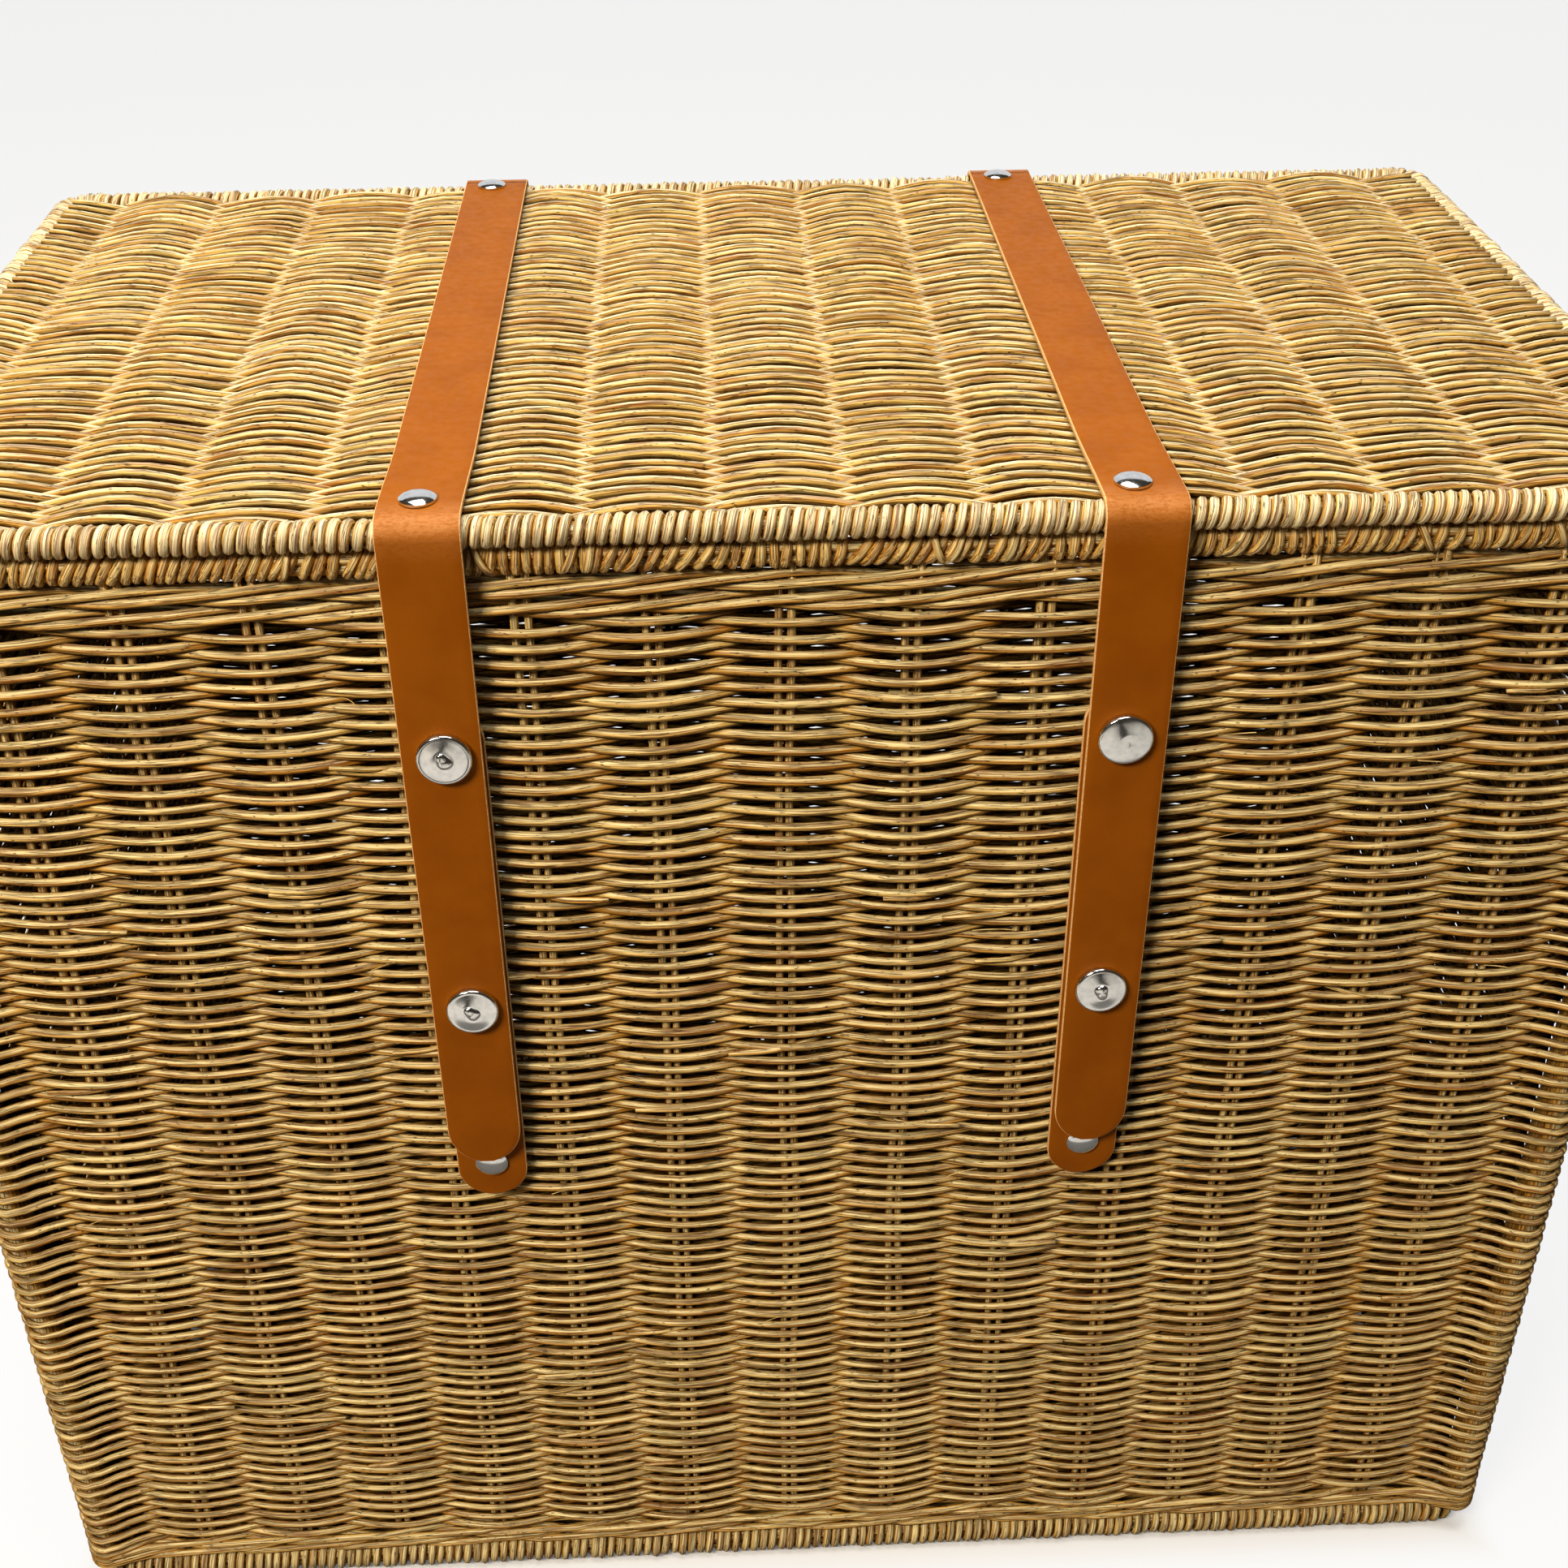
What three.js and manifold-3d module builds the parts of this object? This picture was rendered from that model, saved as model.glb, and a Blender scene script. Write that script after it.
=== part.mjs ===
// Lidded rattan storage hamper. Four woven walls stand on corner posts, a woven lid rests on the rim,
// and two leather straps hinge the lid at the back, fold over its front edge and close with press studs.
// Millimetres, Z up, the front faces -Y and the foot border stands on Z = 0.

import * as THREE from 'three';
import { mergeVertices } from 'three/addons/utils/BufferGeometryUtils.js';
import Module from 'manifold-3d';

const wasm = await Module();
wasm.setup();

// Overall sizes
const WIDTH = 710; // over the woven corners, left to right
const DEPTH = 404; // over the woven corners, front to back
const BODY_HEIGHT = 580; // floor to the top of the rim border
const FRONT_SPANS = 14; // gaps between stakes along the front, the back, the lid and the base
const SIDE_SPANS = 8; // gaps between stakes along each end
const FIT = 0.3; // gap between pieces that touch

// Canes
const WEAVER = 3.9; // thickness of a weaver
const STAKE = 3; // thickness of a stake
const POST = 14; // diameter of a corner post
const FOOT_WIDTH = 14; // foot border, wall side to inner side
const FOOT_HEIGHT = 16;
const FOOT_ROUND = 4; // rounding of the foot border's edges
const LOWER_WALE = 12; // height of the waling band over the foot
const UPPER_WALE = 17; // height of the waling band under the rim
const WALE_ROUND = 1.5; // rounding of the waling bands' edges
const RIM_BORDER = 13; // diameter of the wrapped rim
const LID_BORDER = 12.5; // diameter of the wrapped edge of the lid
const BODY_BEND = 8; // corner radius of the foot, waling and rim, to their middle line
const LID_BEND = 12; // corner radius of the lid border, to its middle line

// Leather, with drops measured down from the middle of the lid border
const STRAP_SPACING = 260; // middle of one strap to middle of the other
const STRAP_WIDTH = 31;
const CATCH_WIDTH = 30;
const LEATHER = 2.2; // thickness
const FLAP_OFFSET = 1.2; // each flap sits this far outside its line of studs
const FLAP_END = 298;
const FLAP_TONGUE = 18; // length of a flap's rounded end
const CATCH_TOP = 71;
const CATCH_END = 322;
const CATCH_TONGUE = 15; // length of a catch strap's rounded ends
const HINGE_LENGTH = 104; // hinge strap, from the hinge line down
const HINGE_DRAPE = 30; // height over which it leans in from the rim to the wall

// Press studs and rivets
const STUD_DROPS = [89.5, 212];
const CAP = 21; // stud cap diameter
const CAP_EDGE = 1.6; // height of the cap's straight edge
const CAP_ROLL = 2.4; // height of the cap's rolled rim
const CAP_CONE = 3.3; // height of the shallow cone inside the rim
const CAP_CROWN = 3.6; // height of the nub on the cone
const CAP_NUB = 4; // diameter of the nub
const STUD_SHANK = 4.4;
const SOCKET = 13; // diameter of the socket behind the flap
const SOCKET_HEIGHT = 1.4;
const SOCKET_FLOOR = 0.4;
const SOCKET_MOUTH = 8; // diameter of the socket's mouth
const KNOB = 7; // diameter of the knob that snaps into it
const KNOB_NECK = 6;
const POST_PLATE = 0.5; // thickness of the plate under the knob
const FLANGE = 9; // diameter of the flange behind the catch strap
const FLANGE_HEIGHT = 0.6;
const CATCH_RIVET_INSETS = [45, 19.5]; // from the top of the catch strap, and from its lower end
const HINGE_RIVET_INSETS = [42, 14]; // from the lower end of the hinge strap
const LID_RIVET_INSET = 9.5; // from the middle of the lid border
const LID_RIVET_SHIFT = -2; // the lid rivets sit left of the middle of their straps
const RIVET_CAP = 14;
const RIVET_EDGE = 0.5; // height of the rivet cap's straight edge
const RIVET_CROWN = 1.9; // height of the rivet cap's dome
const RIVET_SHANK = 3.2;
const RIVET_BURR = 5.4; // diameter of the hammered end inside
const BURR_HEIGHT = 0.5;
const WASHER = 10;
const WASHER_HEIGHT = 0.6;

// Facets
const STEPS_PER_SPAN = 4;
const POST_SIDES = 12;
const STUD_SIDES = 10;
const RIVET_SIDES = 8;
const DOME_STEPS = 2;
const CORNER_STEPS = 2;
const BORDER_STEPS = 2;
const STRAP_STEPS = 4;
const DRAPE_STEPS = 6;

// Colours
const CANE = 0xc39a55;
const PALE_CANE = 0xd8b876;
const TAN = 0x9a5214;
const NICKEL = 0xc9c7c2;

// The weave: each weaver swings from one side of a stake to the other side of the next
const weaveSwing = (STAKE + WEAVER) / 2;
const weaveThickness = STAKE + 2 * WEAVER;
const wrapRadius = POST / 2 + FIT + WEAVER;
const postX = WIDTH / 2 - wrapRadius;
const postY = DEPTH / 2 - wrapRadius;

// Heights, from the floor up
const rimMiddle = BODY_HEIGHT - RIM_BORDER / 2;
const rimFoot = BODY_HEIGHT - RIM_BORDER;
const upperWaleFoot = rimFoot - FIT - UPPER_WALE;
const lowerWaleFoot = FOOT_HEIGHT + FIT;
const wallFoot = lowerWaleFoot + LOWER_WALE + FIT;
const wallTop = upperWaleFoot - FIT;
const hingeLine = BODY_HEIGHT + FIT / 2;
const lidMiddle = BODY_HEIGHT + FIT + LID_BORDER / 2;
const underLid = BODY_HEIGHT + 3 * FIT + WASHER_HEIGHT + BURR_HEIGHT; // the rivet ends clear the rim
const lidWeave = underLid + weaveThickness / 2;
const lidTop = Math.max(lidMiddle + LID_BORDER / 2, underLid + weaveThickness);

// Distances out from the middle of a wall
const catchInner = weaveThickness / 2 + FIT + FLANGE_HEIGHT + FIT;
const catchOuter = catchInner + LEATHER;
const snapGap = FIT + SOCKET_HEIGHT + FIT + POST_PLATE + FIT;
const flapInner = catchOuter + snapGap;
const flapOuter = flapInner + LEATHER;
const capReach = flapOuter + FIT + CAP_CROWN;
const foldInner = lidTop + FIT - lidMiddle;
const foldOuter = foldInner + LEATHER;
const lidOverhang = flapInner - foldInner;
const hingeInner = weaveThickness / 2 + FIT;
const catchRivetDrops = [CATCH_TOP + CATCH_RIVET_INSETS[0], CATCH_END - CATCH_RIVET_INSETS[1]];
const hingeRivetDrops = HINGE_RIVET_INSETS.map((inset) => HINGE_LENGTH - inset); // from the hinge line
const lidX = postX + lidOverhang;
const lidY = postY + lidOverhang;

const hamper = new THREE.Group();
// The stud caps reach further forward than the hinge reaches back, and the origin is midway
hamper.position.y = (capReach - flapOuter) / 2;

const rattan = (color) => new THREE.MeshStandardMaterial({ color, roughness: 0.6, metalness: 0 });
const leather = (color) => new THREE.MeshStandardMaterial({ color, roughness: 0.5, metalness: 0 });
const nickel = () => new THREE.MeshStandardMaterial({ color: NICKEL, roughness: 0.2, metalness: 1 });

function addPiece(name, geometry, material) {
  const piece = new THREE.Mesh(geometry, material);
  piece.name = name;
  hamper.add(piece);
  return piece;
}

function solidOf(geometry) {
  const bare = geometry.clone();
  bare.deleteAttribute('normal');
  bare.deleteAttribute('uv');
  const merged = mergeVertices(bare);
  return new wasm.Manifold(new wasm.Mesh({
    numProp: 3,
    vertProperties: Float32Array.from(merged.attributes.position.array),
    triVerts: Uint32Array.from(merged.index.array),
  }));
}

function geometryOf(solid) {
  const { vertProperties, triVerts } = solid.getMesh();
  const geometry = new THREE.BufferGeometry();
  geometry.setAttribute('position', new THREE.BufferAttribute(Float32Array.from(vertProperties), 3));
  geometry.setIndex(new THREE.BufferAttribute(Uint32Array.from(triVerts), 1));
  geometry.computeVertexNormals();
  return geometry;
}

function prism(shape, height, curveSegments = CORNER_STEPS) {
  return new THREE.ExtrudeGeometry(shape, { depth: height, bevelEnabled: false, curveSegments });
}

// An upright round bar standing on z = foot
function uprightBar(radius, x, y, foot, height, sides) {
  const bar = new THREE.CylinderGeometry(radius, radius, height, sides);
  bar.rotateX(Math.PI / 2);
  bar.translate(x, y, foot + height / 2);
  return bar;
}

// A round bar along Y through the point (x, y, z)
function levelBar(radius, x, y, z, length) {
  const bar = new THREE.CylinderGeometry(radius, radius, length, RIVET_SIDES);
  bar.translate(x, y, z);
  return bar;
}

function cutBars(geometry, bars) {
  return geometryOf(bars.reduce((solid, bar) => solid.subtract(solidOf(bar)), solidOf(geometry)));
}

// Woven sheets: thick over each stake, thin where the weavers cross between stakes
function weaveOutline(length, spans) {
  const steps = spans * STEPS_PER_SPAN;
  const front = [];
  for (let step = 0; step <= steps; step += 1) {
    const crossing = Math.abs(Math.cos(Math.PI * step / STEPS_PER_SPAN));
    front.push(new THREE.Vector2(length * (step / steps - 0.5), WEAVER / 2 + weaveSwing * crossing));
  }
  const back = front.map((point) => new THREE.Vector2(point.x, -point.y)).reverse();
  return new THREE.Shape([...front, ...back]);
}

// A wall lies along X with its outer side at +Y, and wraps half way round the post at each end
function wallGeometry(length, spans, rivetBars) {
  const height = wallTop - wallFoot;
  const sheet = prism(weaveOutline(length, spans), height);
  sheet.translate(0, 0, wallFoot);
  let wall = solidOf(sheet);
  for (const side of [-1, 1]) {
    const end = side * length / 2;
    const wrap = uprightBar(wrapRadius, end, 0, wallFoot, height, POST_SIDES);
    const hole = uprightBar(POST / 2 + FIT, end, 0, wallFoot - FIT, height + 2 * FIT, POST_SIDES);
    const reach = 4 * wrapRadius;
    const neighbour = new THREE.BoxGeometry(reach, reach, height + 2 * FIT);
    neighbour.rotateZ(Math.PI / 4);
    const inset = (reach - FIT) / 2 / Math.SQRT2;
    neighbour.translate(end + side * inset, -inset, wallFoot + height / 2);
    wall = wall.add(solidOf(wrap)).subtract(solidOf(hole)).subtract(solidOf(neighbour));
  }
  return cutBars(geometryOf(wall), rivetBars);
}

// Rounded rectangles and the rings made from them
function roundedRectangle(path, halfX, halfY, radius) {
  path.moveTo(halfX, -halfY + radius);
  path.absarc(halfX - radius, halfY - radius, radius, 0, Math.PI / 2, false);
  path.absarc(-halfX + radius, halfY - radius, radius, Math.PI / 2, Math.PI, false);
  path.absarc(-halfX + radius, -halfY + radius, radius, Math.PI, Math.PI * 1.5, false);
  path.absarc(halfX - radius, -halfY + radius, radius, Math.PI * 1.5, Math.PI * 2, false);
  return path;
}

// A ring whose section is a rounded bar, standing on z = foot
function ringGeometry(halfX, halfY, bend, width, height, round, foot, roundSteps) {
  const core = width / 2 - round;
  const shape = roundedRectangle(new THREE.Shape(), halfX + core, halfY + core, bend + core);
  shape.holes.push(roundedRectangle(new THREE.Path(), halfX - core, halfY - core, bend - core));
  const ring = new THREE.ExtrudeGeometry(shape, {
    depth: height - 2 * round,
    bevelThickness: round,
    bevelSize: round,
    bevelSegments: roundSteps,
    curveSegments: CORNER_STEPS,
  });
  ring.translate(0, 0, foot + round);
  return ring;
}

function borderGeometry(halfX, halfY, bend, diameter, middle) {
  const round = diameter / 2 - FIT;
  return ringGeometry(halfX, halfY, bend, diameter, diameter, round, middle - diameter / 2, BORDER_STEPS);
}

// A waling band goes round each corner post as the walls do
function waleGeometry(foot, height) {
  let band = solidOf(ringGeometry(postX, postY, BODY_BEND, weaveThickness, height, WALE_ROUND, foot, 1));
  for (const x of [-postX, postX]) {
    for (const y of [-postY, postY]) {
      band = band.add(solidOf(uprightBar(wrapRadius, x, y, foot + FIT, height - 2 * FIT, POST_SIDES)));
    }
  }
  for (const x of [-postX, postX]) {
    for (const y of [-postY, postY]) {
      const hole = uprightBar(POST / 2 + FIT, x, y, foot - FIT, height + 2 * FIT, POST_SIDES);
      band = band.subtract(solidOf(hole));
    }
  }
  return geometryOf(band);
}

// A level woven sheet with its stakes along Y, trimmed to fit inside a ring
function panelGeometry(halfX, halfY, corner, middle, topRows, rivetBars) {
  const sheet = prism(weaveOutline(2 * postX, FRONT_SPANS), 2 * halfY + 2 * FIT);
  sheet.rotateX(Math.PI / 2);
  sheet.translate(0, halfY + FIT, 0);
  let panel = solidOf(sheet);
  if (topRows > 0) {
    const blank = new THREE.BoxGeometry(2 * postX, 2 * halfY + 2 * FIT, 2 * weaveThickness);
    blank.translate(0, 0, weaveThickness);
    const rows = rowsGeometry(topRows, 2 * halfY / topRows);
    panel = panel.add(solidOf(blank)).intersect(solidOf(rows));
  }
  const outline = roundedRectangle(new THREE.Shape(), halfX, halfY, corner);
  const trim = prism(outline, 4 * weaveThickness);
  trim.translate(0, 0, -2 * weaveThickness);
  const geometry = geometryOf(panel.intersect(solidOf(trim)));
  geometry.translate(0, 0, middle);
  return cutBars(geometry, rivetBars);
}

// A block whose top is rows of weavers along X, each over one stake and under the next
function rowsGeometry(rows, pitch) {
  const block = new THREE.BoxGeometry(
    2 * postX, (rows + 1) * pitch, 4 * weaveThickness, FRONT_SPANS, rows + 1, 1);
  const points = block.attributes.position;
  for (let index = 0; index < points.count; index += 1) {
    if (points.getZ(index) > 0) {
      const stake = Math.round((points.getX(index) + postX) / (2 * postX) * FRONT_SPANS);
      const row = Math.round(points.getY(index) / pitch + (rows + 1) / 2);
      const over = (stake + row) % 2 === 1;
      points.setZ(index, WEAVER / 2 + (over ? weaveSwing : -weaveSwing));
    }
  }
  return block;
}

// Leather: outlines across the strap run in X and Z, outlines along it in Y and Z
const acrossStrap = new THREE.Matrix4().makeBasis(
  new THREE.Vector3(1, 0, 0), new THREE.Vector3(0, 0, 1), new THREE.Vector3(0, -1, 0));
const alongStrap = new THREE.Matrix4().makeBasis(
  new THREE.Vector3(0, 1, 0), new THREE.Vector3(0, 0, 1), new THREE.Vector3(1, 0, 0));

// A strap end rounded as half an ellipse, with an optional round top and holes for its fittings
function strapOutline(middle, width, top, bottom, topTongue, tongue) {
  const half = width / 2;
  const shape = new THREE.Shape();
  shape.moveTo(middle - half, top - topTongue);
  shape.lineTo(middle - half, bottom + tongue);
  shape.absellipse(middle, bottom + tongue, half, tongue, Math.PI, 2 * Math.PI, false);
  shape.lineTo(middle + half, top - topTongue);
  if (topTongue > 0) {
    shape.absellipse(middle, top - topTongue, half, topTongue, 0, Math.PI, false);
  }
  return shape;
}

function roundHole(x, z, diameter) {
  const hole = new THREE.Path();
  hole.absarc(x, z, diameter / 2 + FIT, 0, 2 * Math.PI, false);
  return hole;
}

// A flat strap hung in front of the wall, with its back at y = back
function hungStrap(outline, back) {
  const strap = prism(outline, LEATHER, STRAP_STEPS);
  strap.applyMatrix4(acrossStrap);
  strap.translate(0, back, 0);
  return strap;
}

function stripAlong(profile, middle, width) {
  const strip = prism(profile, width, STRAP_STEPS);
  strip.applyMatrix4(alongStrap);
  strip.translate(middle - width / 2, 0, 0);
  return strip;
}

// The lid strap lies on the lid and turns down over the back border to the hinge line
function lidStrapProfile() {
  const profile = new THREE.Shape();
  profile.moveTo(-lidY + FIT, lidMiddle + foldInner);
  profile.absarc(lidY, lidMiddle, foldInner, Math.PI / 2, 0, true);
  profile.lineTo(lidY + foldInner, hingeLine + FIT / 2);
  profile.lineTo(lidY + foldOuter, hingeLine + FIT / 2);
  profile.absarc(lidY, lidMiddle, foldOuter, 0, Math.PI / 2, false);
  profile.lineTo(-lidY + FIT, lidMiddle + foldOuter);
  return profile;
}

function foldProfile() {
  const profile = new THREE.Shape();
  profile.absarc(-lidY, lidMiddle, foldOuter, Math.PI / 2, Math.PI, false);
  profile.absarc(-lidY, lidMiddle, foldInner, Math.PI, Math.PI / 2, true);
  return profile;
}

// The hinge strap hangs past the rim, then leans in to lie on the back wall
function hingeProfile() {
  const inner = [];
  inner.push(new THREE.Vector2(postY + flapInner, hingeLine - FIT / 2));
  for (let step = 0; step <= DRAPE_STEPS; step += 1) {
    const lean = THREE.MathUtils.smoothstep(step, 0, DRAPE_STEPS);
    const out = THREE.MathUtils.lerp(flapInner, hingeInner, lean);
    inner.push(new THREE.Vector2(postY + out, rimFoot - HINGE_DRAPE * step / DRAPE_STEPS));
  }
  inner.push(new THREE.Vector2(postY + hingeInner, hingeLine - HINGE_LENGTH));
  const outer = inner.map((point) => new THREE.Vector2(point.x + LEATHER, point.y)).reverse();
  return new THREE.Shape([...inner, ...outer]);
}

function hingeStrapGeometry(middle, rivetBars) {
  const strip = stripAlong(hingeProfile(), middle, STRAP_WIDTH);
  const foot = hingeLine - HINGE_LENGTH;
  const outline = strapOutline(middle, STRAP_WIDTH, hingeLine + FIT, foot, 0, FLAP_TONGUE);
  const reach = 2 * flapOuter;
  const tongue = prism(outline, reach, STRAP_STEPS);
  tongue.applyMatrix4(acrossStrap);
  tongue.translate(0, postY + reach, 0);
  return cutBars(geometryOf(solidOf(strip).intersect(solidOf(tongue))), rivetBars);
}

// Turned fittings: profiles run from the back end to the front, and the front faces +Y
function turned(points, sides) {
  return new THREE.LatheGeometry(points.map(([radius, along]) => new THREE.Vector2(radius, along)), sides);
}

// A rivet's cap stands on y = 0 and its shank reaches back through grip to the hammered end
function rivetGeometry(grip) {
  const points = [
    [0, -grip - BURR_HEIGHT],
    [RIVET_BURR / 2, -grip - BURR_HEIGHT],
    [RIVET_BURR / 2, -grip],
    [RIVET_SHANK / 2, -grip],
    [RIVET_SHANK / 2, 0],
    [RIVET_CAP / 2, 0],
  ];
  for (let step = 0; step <= DOME_STEPS; step += 1) {
    const turn = Math.PI / 2 * step / DOME_STEPS;
    const rise = (RIVET_CROWN - RIVET_EDGE) * Math.sin(turn);
    points.push([step === DOME_STEPS ? 0 : RIVET_CAP / 2 * Math.cos(turn), RIVET_EDGE + rise]);
  }
  return turned(points, RIVET_SIDES);
}

function washerGeometry() {
  const hole = RIVET_SHANK / 2 + FIT;
  return turned([[hole, 0], [WASHER / 2, 0], [WASHER / 2, WASHER_HEIGHT], [hole, WASHER_HEIGHT], [hole, 0]],
    RIVET_SIDES);
}

// A stud cap with its shank through the flap and its socket behind the leather
function studCapGeometry() {
  const behind = -FIT - LEATHER - FIT;
  const rim = CAP / 2;
  return turned([
    [0, behind - SOCKET_FLOOR],
    [SOCKET_MOUTH / 2, behind - SOCKET_FLOOR],
    [SOCKET_MOUTH / 2, behind - SOCKET_HEIGHT],
    [SOCKET / 2, behind - SOCKET_HEIGHT],
    [SOCKET / 2, behind],
    [STUD_SHANK / 2, behind],
    [STUD_SHANK / 2, 0],
    [rim - FIT, 0],
    [rim, FIT],
    [rim, CAP_EDGE],
    [rim + CAP_EDGE - CAP_ROLL, CAP_ROLL],
    [CAP_NUB / 2, CAP_CONE],
    [CAP_NUB / 4, CAP_CROWN],
    [0, CAP_CROWN],
  ], STUD_SIDES);
}

// The knob half of a stud, clenched through the catch strap
function studPostGeometry() {
  const behind = -FIT - LEATHER - FIT;
  const knobTop = POST_PLATE + SOCKET_HEIGHT - SOCKET_FLOOR;
  return turned([
    [0, behind - FLANGE_HEIGHT],
    [FLANGE / 2, behind - FLANGE_HEIGHT],
    [FLANGE / 2, behind],
    [STUD_SHANK / 2, behind],
    [STUD_SHANK / 2, 0],
    [SOCKET / 2, 0],
    [SOCKET / 2, POST_PLATE],
    [KNOB_NECK / 2, POST_PLATE],
    [KNOB / 2, (POST_PLATE + knobTop) / 2],
    [KNOB_NECK / 2, knobTop],
    [0, knobTop],
  ], STUD_SIDES);
}

// A rivet through leather and a woven sheet, with its washer on the far side of the weave
function addRivet(name, grip, place) {
  const rivet = addPiece(`${name}_rivet`, rivetGeometry(grip), nickel());
  const washer = addPiece(`${name}_washer`, washerGeometry(), nickel());
  const washerPlace = -grip + FIT;
  washer.geometry.translate(0, washerPlace, 0);
  place(rivet);
  place(washer);
}

const rivetGrip = (standOff) => FIT + LEATHER + standOff + weaveThickness + FIT + WASHER_HEIGHT + FIT;
const straps = [['left', -STRAP_SPACING / 2], ['right', STRAP_SPACING / 2]];

// The woven box
addPiece('foot_border',
  ringGeometry(postX, postY, BODY_BEND, FOOT_WIDTH, FOOT_HEIGHT, FOOT_ROUND, 0, CORNER_STEPS), rattan(CANE));
const baseInset = FOOT_WIDTH / 2 + FIT;
addPiece('base_panel',
  panelGeometry(postX - baseInset, postY - baseInset, BODY_BEND, FOOT_HEIGHT / 2, 0, []), rattan(CANE));
addPiece('lower_wale', waleGeometry(lowerWaleFoot, LOWER_WALE), rattan(CANE));
addPiece('upper_wale', waleGeometry(upperWaleFoot, UPPER_WALE), rattan(CANE));
addPiece('rim_border', borderGeometry(postX, postY, BODY_BEND, RIM_BORDER, rimMiddle), rattan(CANE));

const wallBar = (x, z) => levelBar(RIVET_SHANK / 2 + FIT, x, 0, z, 2 * weaveThickness);
const frontBars = straps.flatMap(([, x]) => catchRivetDrops.map((drop) => wallBar(x, lidMiddle - drop)));
const backBars = straps.flatMap(([, x]) => hingeRivetDrops.map((drop) => wallBar(x, hingeLine - drop)));
const walls = [
  ['front_wall', 2 * postX, FRONT_SPANS, frontBars, Math.PI, [0, -postY]],
  ['back_wall', 2 * postX, FRONT_SPANS, backBars, 0, [0, postY]],
  ['left_wall', 2 * postY, SIDE_SPANS, [], Math.PI / 2, [-postX, 0]],
  ['right_wall', 2 * postY, SIDE_SPANS, [], -Math.PI / 2, [postX, 0]],
];
for (const [name, length, spans, bars, turn, [x, y]] of walls) {
  const wall = addPiece(name, wallGeometry(length, spans, bars), rattan(CANE));
  wall.rotation.z = turn;
  wall.position.set(x, y, 0);
}
const corners = [['front_left', -1, -1], ['front_right', 1, -1], ['back_left', -1, 1], ['back_right', 1, 1]];
const postHeight = rimFoot - FIT - lowerWaleFoot;
for (const [name, sideX, sideY] of corners) {
  const bar = uprightBar(POST / 2, sideX * postX, sideY * postY, lowerWaleFoot, postHeight, POST_SIDES);
  addPiece(`${name}_post`, bar, rattan(CANE));
}

// The lid
addPiece('lid_border', borderGeometry(lidX, lidY, LID_BEND, LID_BORDER, lidMiddle), rattan(PALE_CANE));
const panelInset = LID_BORDER / 2 + FIT;
const lidRivetY = lidY - LID_RIVET_INSET;
const lidBar = (x, y) => {
  const reach = 2 * weaveThickness;
  return uprightBar(RIVET_SHANK / 2 + FIT, x, y, lidWeave - reach, 2 * reach, RIVET_SIDES);
};
const lidRivetBars = (x) => [lidBar(x + LID_RIVET_SHIFT, -lidRivetY), lidBar(x + LID_RIVET_SHIFT, lidRivetY)];
const lidBars = straps.flatMap(([, x]) => lidRivetBars(x));
const lidRows = Math.round(2 * (lidY - panelInset) / WEAVER);
addPiece('lid_panel',
  panelGeometry(lidX - panelInset, lidY - panelInset, LID_BEND, lidWeave, lidRows, lidBars),
  rattan(PALE_CANE));

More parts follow.
